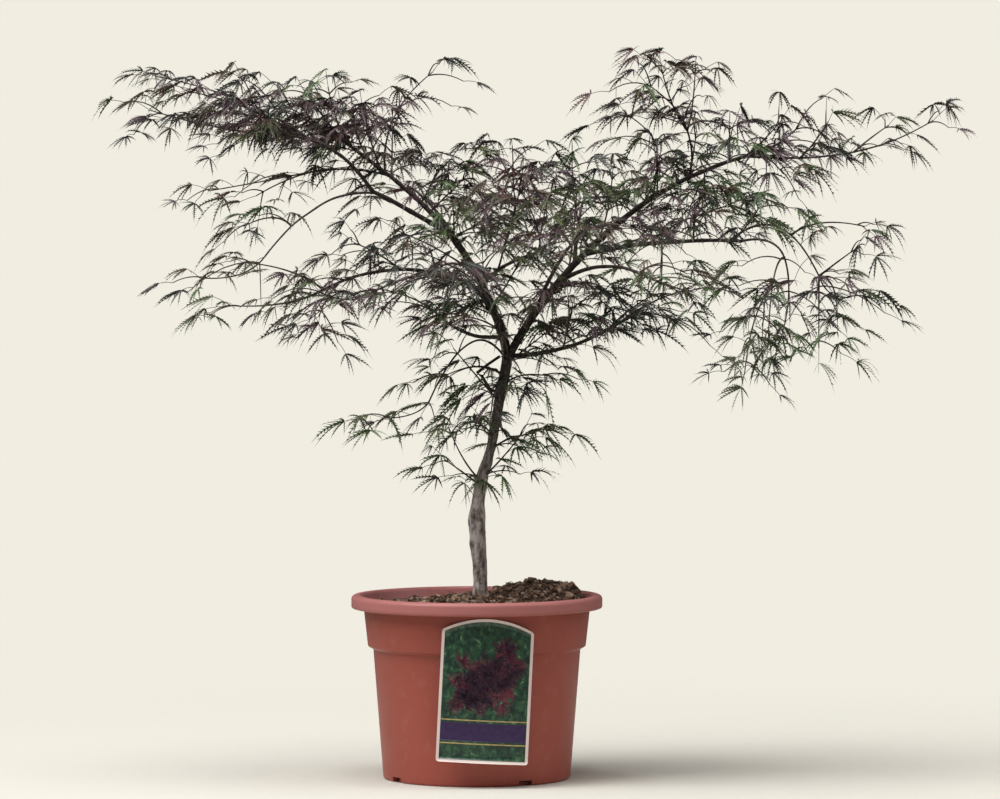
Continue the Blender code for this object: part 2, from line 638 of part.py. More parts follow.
class Foliage:
    """Grows one mass of leaves at a time, and keeps each clear of the limbs and of the others."""

    def __init__(self, limb_trees, routes, stem_trees, shape):
        self.limb_trees = limb_trees
        self.spaces = Spaces(routes)
        self.stem_trees = stem_trees
        self.shape = shape
        self.placed = []

    def is_clear(self, name, work, on_stem):
        """Whether the piece keeps to its space and touches no limb, no leaf and no stem but its own."""
        corners = [corner.co for corner in work.verts]
        if not all(in_crown(corner) for corner in corners) or not self.spaces.holds(name, corners):
            return False
        tree = BVHTree.FromBMesh(work)
        stems = [stem for other, stem in self.stem_trees.items() if other != name or not on_stem]
        return not any(tree.overlap(other) for other in self.limb_trees + stems + self.placed)

    def try_leaf(self, name, root, way, length, size, rng):
        """Add a twig and its leaf, or a leaf straight on the stem's end. Returns the pieces, if clear."""
        end = root + way * length
        lay = drooped(way, LEAF_DROOP * around_one(rng, DROOP_VARIATION))
        leaf = leaf_piece(end, lay, rng.uniform(-LEAF_ROLL, LEAF_ROLL), size, self.shape)
        pieces = [leaf]
        if length:
            pieces.append(twig_piece(root, end + lay * LEAF_ROOT))
        if self.is_clear(name, leaf, on_stem=not length):
            if not length or self.is_clear(name, pieces[1], on_stem=True):
                return pieces
        for piece in pieces:
            piece.free()
        return None

    def grow_twig(self, mass, root, way, turn, reach, rng):
        """One twig and its leaf, turned about the stem, or a leaf in line with the stem if its reach is 0.
        It is tried shorter and shorter, and is left out if no try is clear."""
        for attempt in range(TWIG_TRIES):
            shrink = 1 - (1 - SHORTEST_TRY) * attempt / TWIG_TRIES
            size = math.sqrt(shrink) * around_one(rng, SIZE_VARIATION)
            length = reach * shrink * around_one(rng, LENGTH_VARIATION)
            roll = math.radians(turn + rng.uniform(-TURN_VARIATION, TURN_VARIATION))
            open_by = math.radians(TWIG_FORWARD + rng.uniform(-FORWARD_VARIATION, FORWARD_VARIATION))
            out = frame_along(way, roll).to_3x3() @ Vector((math.cos(open_by), 0.0, math.sin(open_by)))
            heading = drooped(out, TWIG_DROOP) if reach else way
            pieces = self.try_leaf(mass.name, root, heading, length, size, rng)
            if pieces:
                self.placed += [BVHTree.FromBMesh(piece) for piece in pieces]
                return pieces
        return []

    def grow(self, mass, route, rng):
        """The pieces of a mass: pairs of twigs along its stem, each with a leaf, and a leaf at its end."""
        grown = []
        for pair in range(mass.pairs):
            share = FIRST_PAIR_SHARE + (LAST_PAIR_SHARE - FIRST_PAIR_SHARE) * pair / (mass.pairs - 1)
            node, way, _ = point_along(route, share)
            reach = mass.spread * (1 - TWIG_TAPER * share)
            for side in (-1, 1):
                root = node + way * PAIR_OFFSET * side
                turn = PAIR_TURN * pair * abs(way.z) + 90 * side
                grown += self.grow_twig(mass, root, way, turn, reach, rng)
        tip, way, _ = point_along(route, 1.0)
        grown += self.grow_twig(mass, tip, way, 0, 0, rng)
        return grown


def largest_body(mesh):
    """Keep the mesh's biggest body, and drop every loose scrap and inner shell."""
    work = bmesh.new()
    work.from_mesh(mesh)
    bmesh.ops.remove_doubles(work, verts=work.verts, dist=FINE_WELD)
    bmesh.ops.triangulate(work, faces=work.faces)
    left = set(work.faces)
    bodies = []
    while left:
        body = {left.pop()}
        rim = list(body)
        while rim:
            inner_edges = [edge for edge in rim.pop().edges if len(edge.link_faces) == 2]
            beyond = {face for edge in inner_edges for face in edge.link_faces} - body
            body |= beyond
            rim += beyond
        left -= body
        bodies.append(body)
    keep = max(bodies, key=len)
    bmesh.ops.delete(work, geom=[face for face in work.faces if face not in keep], context="FACES")
    work.to_mesh(mesh)
    work.free()


def joined(name, stem, pieces, look):
    """Fuse the pieces to the stem by one Boolean union on their collection."""
    for index, piece in enumerate(pieces):
        add_object(f"{name}_piece_{index}", mesh_from(piece, name), WORK_COLLECTION)
    union = stem.modifiers.new("join", "BOOLEAN")
    union.operation = "UNION"
    union.solver = "EXACT"
    union.operand_type = "COLLECTION"
    union.collection = bpy.data.collections[WORK_COLLECTION]
    mesh = evaluated_mesh(stem)
    largest_body(mesh)
    bpy.data.objects.remove(stem)
    for thing in list(bpy.data.collections[WORK_COLLECTION].objects):
        bpy.data.objects.remove(thing)
    add_object(name, mesh, look=look)


def build_foliage(limbs, limb_trees, looks):
    """Every mass of leaves. The stems come first, because they share out the room."""
    routes = {mass.name: stem_route(mass, limbs) for mass in MASSES}
    stems = {}
    for mass in MASSES:
        route = routes[mass.name]
        radii = tapering(STEM_THICK, STEM_THIN, len(route))
        stems[mass.name] = tapered(mass.name + "_stem", route, radii, STEM_BEVEL, CUTTER_COLLECTION)
    stem_trees = {name: tree_of(stem) for name, stem in stems.items()}
    foliage = Foliage(limb_trees, routes, stem_trees, leaf_shape())
    for index, mass in enumerate(MASSES):
        rng = random.Random(TWIG_SEED + index)
        pieces = foliage.grow(mass, routes[mass.name], rng)
        joined(mass.name, stems[mass.name], pieces, looks[index % len(looks)])


def main():
    """Build the whole plant."""
    clear_scene()
    build_pot(material("pot_plastic", COLOURS["pot"], POT_ROUGHNESS))
    build_soil(material("bark_compost", COLOURS["soil"], DULL_ROUGHNESS))
    build_label(material("label_card", COLOURS["plant_label"], LABEL_ROUGHNESS))
    bark = material("trunk_bark", COLOURS["trunk"], DULL_ROUGHNESS)
    young_bark = material("bough_bark", COLOURS["bough"], DULL_ROUGHNESS)
    limbs, limb_trees = build_limbs(bark, young_bark)
    purple = material("purple_leaves", COLOURS["foliage_purple"], LEAF_ROUGHNESS)
    green = material("green_leaves", COLOURS["foliage_green"], LEAF_ROUGHNESS)
    build_foliage(limbs, limb_trees, (purple, green))


main()
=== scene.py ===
"""Looks for a laceleaf Japanese maple in a nursery pot: bark, dissected leaves, bark compost, pot and label.

Lengths are metres in the frame of the CAD model: +Z up, the front towards -Y, and the origin at the
centre of the pot's flat underside.
"""

import json
import math
import random
from collections import namedtuple

import bpy
import numpy as np
from mathutils import Matrix, Vector, noise

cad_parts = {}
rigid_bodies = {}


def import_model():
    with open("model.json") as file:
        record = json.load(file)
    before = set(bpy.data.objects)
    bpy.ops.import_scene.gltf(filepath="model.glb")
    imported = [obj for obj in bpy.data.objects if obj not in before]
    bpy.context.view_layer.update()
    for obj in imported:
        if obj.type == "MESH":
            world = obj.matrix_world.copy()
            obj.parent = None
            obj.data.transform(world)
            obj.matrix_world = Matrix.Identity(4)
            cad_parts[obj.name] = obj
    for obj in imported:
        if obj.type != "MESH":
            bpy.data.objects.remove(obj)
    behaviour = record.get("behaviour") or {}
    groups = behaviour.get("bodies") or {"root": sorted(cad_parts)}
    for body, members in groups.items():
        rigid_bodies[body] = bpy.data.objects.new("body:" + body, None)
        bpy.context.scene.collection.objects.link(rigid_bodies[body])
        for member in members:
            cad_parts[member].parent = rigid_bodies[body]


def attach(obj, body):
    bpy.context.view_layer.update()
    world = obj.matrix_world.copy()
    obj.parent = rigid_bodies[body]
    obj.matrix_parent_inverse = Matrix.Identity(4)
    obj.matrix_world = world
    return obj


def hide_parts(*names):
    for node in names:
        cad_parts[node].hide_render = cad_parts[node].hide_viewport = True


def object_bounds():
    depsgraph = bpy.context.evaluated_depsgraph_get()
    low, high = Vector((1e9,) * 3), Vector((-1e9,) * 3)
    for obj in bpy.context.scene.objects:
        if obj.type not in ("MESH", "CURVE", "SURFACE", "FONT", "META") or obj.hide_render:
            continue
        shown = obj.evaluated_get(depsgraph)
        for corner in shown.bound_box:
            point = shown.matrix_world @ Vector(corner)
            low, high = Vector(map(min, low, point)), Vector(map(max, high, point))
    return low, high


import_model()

CAD_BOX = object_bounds()
UP = Vector((0.0, 0.0, 1.0))
DOWN = np.array((0.0, 0.0, -1.0))
STEEP = 0.1
SHORTEST = 1e-12
EVEN = (1.0, 1.0, 1.0)

# Camera: in front of the plant, a little above the crown's middle, looking down a little.
CAMERA_PLACE = (0.0258, -6.0, 0.6379)
CAMERA_PITCH = 0.0359
CAMERA_LENS = 194.0
CAMERA_SENSOR = 36.0

# Studio.
CREAM = (0.879, 0.847, 0.753)
WORLD_LIGHT = 0.12
FLOOR_COLOUR = (0.61, 0.588, 0.528)
FLOOR_RADIUS = 1.6
FLOOR_FADE = (0.25, 1.4)
FLOOR_RINGS = 24
FLOOR_STEPS = 96
LIGHT_AIM = (0.0, 0.0, 0.3)
# Lights: each one's place, size and power. The front one is high, so that the pot's lip casts its shadow.
LIGHTS = (
    ("left", (-3.5, -2.0, 5.0), 4.0, 350),
    ("front", (-0.5, -1.0, 6.0), 3.5, 290),
    ("right", (5.0, -1.0, 4.0), 4.5, 100),
)

# Pot: a tapering body, a wider collar above a step, and a rolled lip.
POT_HEIGHT = 0.2046
POT_WALL = 0.002
POT_FLOOR = 0.004
BASE_RADIUS = 0.1045
BASE_ROUNDING = 0.002
BODY_TOP_RADIUS = 0.1155
BODY_TOP = 0.1445
STEP_RISE = 0.0035
COLLAR_FOOT_RADIUS = 0.1215
COLLAR_TOP_RADIUS = 0.1262
LIP_RADIUS = 0.140
LIP_DEPTH = 0.0145
LIP_ROUNDING = 0.0045
LIP_INNER_RADIUS = 0.1285
EDGE_ROUNDING = 0.0009
POT_STEPS = 160
LIP_POINTS = 9
HEEL_POINTS = 6
ROUNDING_LIMIT = 0.4
MERGE_DISTANCE = 0.00001
SHARP_ANGLE = 40
# Its colours by place along the clouds, and the lip's paler, pinker colour, partly fading and partly a
# painted sheen where the lip catches light, which starts and ends about the lip's foot.
POT_COLOURS = ((0.30, (0.300, 0.062, 0.042)), (0.70, (0.370, 0.082, 0.058)))
LIP_FADE_AND_SHEEN_COLOUR = (0.44, 0.16, 0.15)
LIP_FADE_AND_SHEEN_RISE = (-0.002, 0.004)
DUST_COLOUR = (0.50, 0.27, 0.23)
DUST = ((0.56, 0.0), (0.80, 0.16))
NOTCH_ANGLES = (-58, 31, 121, 211)
NOTCH_WIDTH = 0.017
NOTCH_HEIGHT = 0.006
NOTCH_DEPTH = 0.014

# Soil: low at the left, level under the trunk, and heaped at the back right.
SOIL_LEVEL = 0.191
SEAT_RADIUS = 0.021
SEAT_SLOPE_WIDTH = 0.034
MOUND_CENTRE = Vector((0.066, 0.038))
MOUND_HEIGHT = 0.0235
MOUND_WIDTH = 0.060
SOIL_RINGS = 60
SOIL_STEPS = 150
SOIL_EDGE = 0.006
SOIL_GAP = 0.0012
CLEARANCE = 0.0003
CLOD_HEIGHT = 0.0022
CLOD_SIZE = 0.011
FINE_CLODS = 0.6
FINE_CLOD_SIZE = CLOD_SIZE / 3
FINE_CLOD_SHIFT = 3.0
CHIP_COUNT = 6000
CHIP_LENGTH = 0.0042
CHIP_LENGTH_SPREAD = 0.45
CHIP_HALF_WIDTH = (0.18, 0.42)
CHIP_HALF_DEPTH = (0.08, 0.2)
CHIP_CORNERS = 6
CHIP_CORNER_TURN = 0.35
CHIP_CORNER_REACH = (0.75, 1.1)
CHIP_BULGE = 1.5
CHIP_LIFT = (0.2, 1.4)
CHIP_TILT = 0.5
CHIP_MARGIN = 0.003
FIBRE_COUNT = 1500
FIBRE_LENGTH = 0.011
FIBRE_LENGTHS = (0.5, 1.4)
FIBRE_RISE = (-0.15, 0.45)
FIBRE_ARCH = 0.004
FIBRE_RADIUS = 0.00022
FIBRE_RADII = (0.7, 1.5)
FIBRE_SPANS = 4
FIBRE_SIDES = 4
CHIP_SEED = 5
CHIP_COLOURS = {
    "dark": ((0.030, 0.018, 0.012), (0.095, 0.056, 0.038)),
    "brown": ((0.110, 0.060, 0.038), (0.200, 0.120, 0.078)),
    "tan": ((0.280, 0.175, 0.115), (0.450, 0.310, 0.215)),
    "grey": ((0.150, 0.110, 0.085), (0.290, 0.220, 0.170)),
}
CHIP_MIX = (("dark", 5), ("brown", 5), ("grey", 3), ("tan", 4))

# Label: a thin card, arched at its top, that leans a little and hangs on the front of the collar.
LABEL_WIDTH = 0.101
LABEL_SHOULDER = 0.145
LABEL_ARCH = 0.0135
LABEL_THICKNESS = 0.0006
LABEL_BEND_RADIUS = 0.25
LABEL_FOOT = 0.0285
LABEL_TURN = 2.6
LABEL_LEAN = 2.9
LABEL_REACH = 0.1268
LABEL_COLUMNS = 30
LABEL_ROWS = 30
LABEL_CORNER = 0.003
LABEL_BORDER = 0.0032
SHOULDER_EASE = 0.6
CARD_COLOURS = ((0.72, 0.58, 0.56), (0.80, 0.70, 0.62))
GROUND_COLOURS = (
    (0.36, (0.006, 0.018, 0.014)),
    (0.50, (0.016, 0.055, 0.034)),
    (0.62, (0.050, 0.120, 0.050)),
    (0.74, (0.36, 0.46, 0.42)),
)
FAINT_INK = 0.65
INK = 0.00006
# Print: each band's name, colour, foot and head, then each kind of leaf's name, colour and count.
LABEL_BANDS = (
    ("band", (0.038, 0.016, 0.085), 0.024, 0.044),
    ("low_rule", (0.52, 0.40, 0.17), 0.0205, 0.0218),
    ("high_rule", (0.52, 0.40, 0.17), 0.0462, 0.0475),
)
LABEL_LEAVES = (
    ("rose", (0.190, 0.034, 0.060), 70),
    ("wine", (0.095, 0.020, 0.042), 90),
    ("plum", (0.034, 0.012, 0.030), 60),
)
LABEL_LEAF_SIZE = (0.011, 0.018)
LABEL_LEAF_RIB = 0.05
LABEL_LEAF_SPREAD = (0.030, 0.066, 0.112)
LABEL_LEAF_SCATTER = 0.012
LABEL_PICTURE_FOOT = 0.049
LABEL_SEED = 3

# Trunk: height, sideways place and radius of each ring from the foot to the fork.
TRUNK_FOOT = 0.2020
TRUNK_STATIONS = (
    (TRUNK_FOOT, 0.0042, 0.0090),
    (0.2065, 0.0041, 0.0080),
    (0.2180, 0.0043, 0.0077),
    (0.2400, 0.0034, 0.0079),
    (0.2560, 0.0020, 0.0087),
    (0.2700, 0.0010, 0.0090),
    (0.2850, 0.0003, 0.0094),
    (0.2960, 0.0006, 0.0088),
    (0.3060, 0.0012, 0.0072),
    (0.3200, 0.0031, 0.0068),
    (0.3340, 0.0050, 0.0065),
    (0.3467, 0.0090, 0.0056),
    (0.3572, 0.0124, 0.0054),
    (0.3717, 0.0168, 0.0053),
    (0.3926, 0.0202, 0.0054),
    (0.4200, 0.0244, 0.0055),
    (0.4560, 0.0318, 0.0058),
    (0.4750, 0.0340, 0.0058),
)

# Boughs: where each starts on its parent, where it ends, how far its middle bows off the straight
# line, and its radius at both ends. A parent comes before the boughs that leave it.
Bough = namedtuple("Bough", "name parent share tip bow thick thin")
BOUGHS = tuple(Bough(*row) for row in (
    ("left", "trunk", 1.0, (-0.035, 0.010, 0.613), (0.008, 0, 0.004), 0.0050, 0.0036),
    ("right", "trunk", 0.97, (0.138, -0.005, 0.602), (-0.005, 0, 0.006), 0.0050, 0.0036),
    ("left_upper", "left", 1.0, (-0.142, 0.045, 0.705), (0.016, -0.004, -0.008), 0.0032, 0.0019),
    ("left_long", "left", 0.94, (-0.118, -0.018, 0.655), (0, 0, 0.002), 0.0030, 0.0023),
    ("left_far", "left_long", 1.0, (-0.216, -0.040, 0.716), (0.006, 0, 0.015), 0.0022, 0.0014),
    ("left_arching", "left_long", 0.93, (-0.232, -0.100, 0.582), (-0.002, 0.004, 0.021), 0.0019, 0.0013),
    ("left_middle", "left_upper", 0.62, (-0.200, 0.095, 0.674), (0, 0, 0.006), 0.0018, 0.0013),
    ("left_upright", "left_upper", 0.66, (-0.090, 0.050, 0.743), (-0.006, 0, 0), 0.0018, 0.0012),
    ("left_low", "left", 0.46, (-0.178, -0.048, 0.541), (0, 0.005, 0.026), 0.0026, 0.0014),
    ("left_low_inner", "left_low", 0.34, (-0.120, -0.130, 0.540), (0, 0, 0.003), 0.0019, 0.0013),
    ("left_inner", "left", 0.12, (-0.044, 0.080, 0.515), (-0.004, 0, -0.008), 0.0024, 0.0014),
    ("left_hanging", "trunk", 0.97, (-0.053, -0.060, 0.421), (0.002, 0.008, 0.042), 0.0018, 0.0012),
    ("right_upper", "right", 1.0, (0.310, 0.030, 0.696), (-0.006, 0, 0.011), 0.0034, 0.0020),
    ("right_long", "right_upper", 0.95, (0.452, 0.045, 0.706), (0.004, 0, -0.007), 0.0019, 0.0013),
    ("right_upright", "right_upper", 0.60, (0.232, 0.004, 0.728), (0.006, 0, -0.002), 0.0020, 0.0013),
    ("right_inner", "right_upper", 0.37, (0.199, -0.050, 0.699), (0.002, 0, 0), 0.0018, 0.0013),
    ("right_level", "right", 0.85, (0.292, -0.045, 0.599), (0, 0, 0.006), 0.0028, 0.0020),
    ("right_hanging", "right_level", 1.0, (0.343, -0.080, 0.551), (0.013, 0, 0.018), 0.0019, 0.0013),
    ("right_drooping", "right_level", 0.93, (0.385, 0.020, 0.553), (0.004, -0.004, 0.037), 0.0018, 0.0012),
    ("right_middle", "right_level", 0.42, (0.251, 0.070, 0.628), (0, 0, 0.004), 0.0018, 0.0013),
    ("right_mid", "right", 0.60, (0.188, -0.120, 0.560), (0, 0, 0.015), 0.0025, 0.0015),
    ("right_low", "trunk", 0.985, (0.167, 0.080, 0.510), (0.003, 0, -0.010), 0.0028, 0.0016),
    ("centre", "left", 0.52, (0.063, -0.090, 0.585), (-0.003, 0, 0.004), 0.0024, 0.0014),
    ("centre_upright", "centre", 0.36, (0.042, 0.004, 0.632), (0, -0.006, 0), 0.0017, 0.0012),
    ("front_left", "left", 0.22, (-0.030, -0.175, 0.560), (0, 0, 0.014), 0.0024, 0.0014),
    ("front_right", "right", 0.34, (0.110, -0.185, 0.606), (0, 0, 0.008), 0.0024, 0.0014),
    ("back_left", "left", 0.80, (-0.070, 0.180, 0.655), (0, 0, 0.006), 0.0024, 0.0014),
    ("back_right", "right", 0.76, (0.120, 0.180, 0.640), (0, 0, 0.008), 0.0024, 0.0014),
))

# Leaves: the dark and the light side of each colour, and mixes with how often each colour comes.
LEAF_COLOURS = {
    "plum": ((0.052, 0.029, 0.037), (0.095, 0.054, 0.062)),
    "maroon": ((0.062, 0.027, 0.029), (0.104, 0.046, 0.044)),
    "umber": ((0.060, 0.042, 0.030), (0.102, 0.072, 0.050)),
    "olive": ((0.050, 0.062, 0.026), (0.094, 0.106, 0.044)),
    "green": ((0.038, 0.066, 0.022), (0.076, 0.120, 0.040)),
    "dark": ((0.022, 0.025, 0.019), (0.045, 0.048, 0.037)),
}
PURPLE = (("plum", 5), ("maroon", 3), ("umber", 4), ("dark", 3), ("olive", 1))
DARK = (("dark", 5), ("plum", 3), ("umber", 3), ("green", 2), ("olive", 2))
GREEN = (("green", 6), ("olive", 3), ("dark", 3), ("plum", 1))
# How full of shoots and leaves a mass or spray is.
THIN = 0.02
OPEN = 0.12
FULL = 0.32
DENSE = 0.60

# Foliage masses: the limb that carries each, how far along it (1 is its tip), where the mass's stem
# ends, how far its twigs spread, how many pairs of them it has, how full it is and its leaf colours.
Mass = namedtuple("Mass", "name limb share tip spread pairs fullness mix")
MASSES = tuple(Mass(*row) for row in (
    ("left_far_foliage", "left_far", 1.0, (-0.362, -0.030, 0.744), 0.083, 6, THIN, PURPLE),
    ("left_upper_foliage", "left_upper", 1.0, (-0.238, 0.075, 0.752), 0.070, 5, OPEN, PURPLE),
    ("left_upright_foliage", "left_upright", 1.0, (-0.050, 0.058, 0.788), 0.062, 4, THIN, PURPLE),
    ("left_middle_foliage", "left_middle", 1.0, (-0.305, 0.130, 0.655), 0.069, 4, THIN, PURPLE),
    ("left_arching_foliage", "left_arching", 1.0, (-0.300, -0.155, 0.560), 0.069, 4, THIN, DARK),
    ("left_low_foliage", "left_low", 1.0, (-0.272, -0.058, 0.528), 0.065, 5, THIN, DARK),
    ("left_low_inner_foliage", "left_low_inner", 1.0, (-0.168, -0.205, 0.545), 0.069, 4, THIN, DARK),
    ("left_inner_foliage", "left_inner", 1.0, (-0.100, 0.160, 0.540), 0.073, 5, THIN, DARK),
    ("left_hanging_foliage", "left_hanging", 1.0, (-0.102, -0.085, 0.405), 0.053, 3, THIN, GREEN),
    ("right_upper_foliage", "right_upper", 1.0, (0.362, 0.060, 0.728), 0.069, 5, OPEN, DARK),
    ("right_tip_foliage", "right_long", 1.0, (0.512, 0.052, 0.734), 0.036, 4, THIN, DARK),
    ("right_upright_foliage", "right_upright", 1.0, (0.188, -0.005, 0.774), 0.083, 5, THIN, PURPLE),
    ("right_inner_foliage", "right_inner", 1.0, (0.165, -0.090, 0.738), 0.065, 4, THIN, DARK),
    ("right_hanging_foliage", "right_hanging", 1.0, (0.332, -0.110, 0.490), 0.056, 4, THIN, GREEN),
    ("right_drooping_foliage", "right_drooping", 1.0, (0.418, 0.055, 0.535), 0.069, 5, THIN, DARK),
    ("right_middle_foliage", "right_middle", 1.0, (0.300, 0.145, 0.645), 0.075, 5, THIN, DARK),
    ("right_mid_foliage", "right_mid", 1.0, (0.235, -0.185, 0.545), 0.073, 5, THIN, GREEN),
    ("right_low_foliage", "right_low", 1.0, (0.225, 0.130, 0.508), 0.070, 5, THIN, GREEN),
    ("centre_foliage", "centre", 1.0, (0.045, -0.135, 0.662), 0.065, 5, DENSE, DARK),
    ("centre_upright_foliage", "centre_upright", 1.0, (0.020, 0.045, 0.700), 0.073, 5, FULL, PURPLE),
    ("front_left_foliage", "front_left", 1.0, (-0.055, -0.255, 0.570), 0.075, 5, FULL, DARK),
    ("front_right_foliage", "front_right", 1.0, (0.135, -0.260, 0.615), 0.075, 5, OPEN, DARK),
    ("back_left_foliage", "back_left", 1.0, (-0.095, 0.262, 0.655), 0.075, 5, THIN, PURPLE),
    ("back_right_foliage", "back_right", 1.0, (0.145, 0.262, 0.640), 0.075, 5, THIN, DARK),
    ("trunk_left_sprig", "trunk", 0.47, (-0.031, -0.020, 0.392), 0.036, 2, THIN, GREEN),
    ("trunk_right_sprig", "trunk", 0.48, (0.052, -0.022, 0.388), 0.043, 3, THIN, GREEN),
    ("trunk_left_foliage", "trunk", 0.90, (-0.040, 0.055, 0.445), 0.050, 3, THIN, GREEN),
    ("trunk_right_foliage", "trunk", 0.86, (0.080, -0.050, 0.450), 0.050, 3, THIN, GREEN),
))

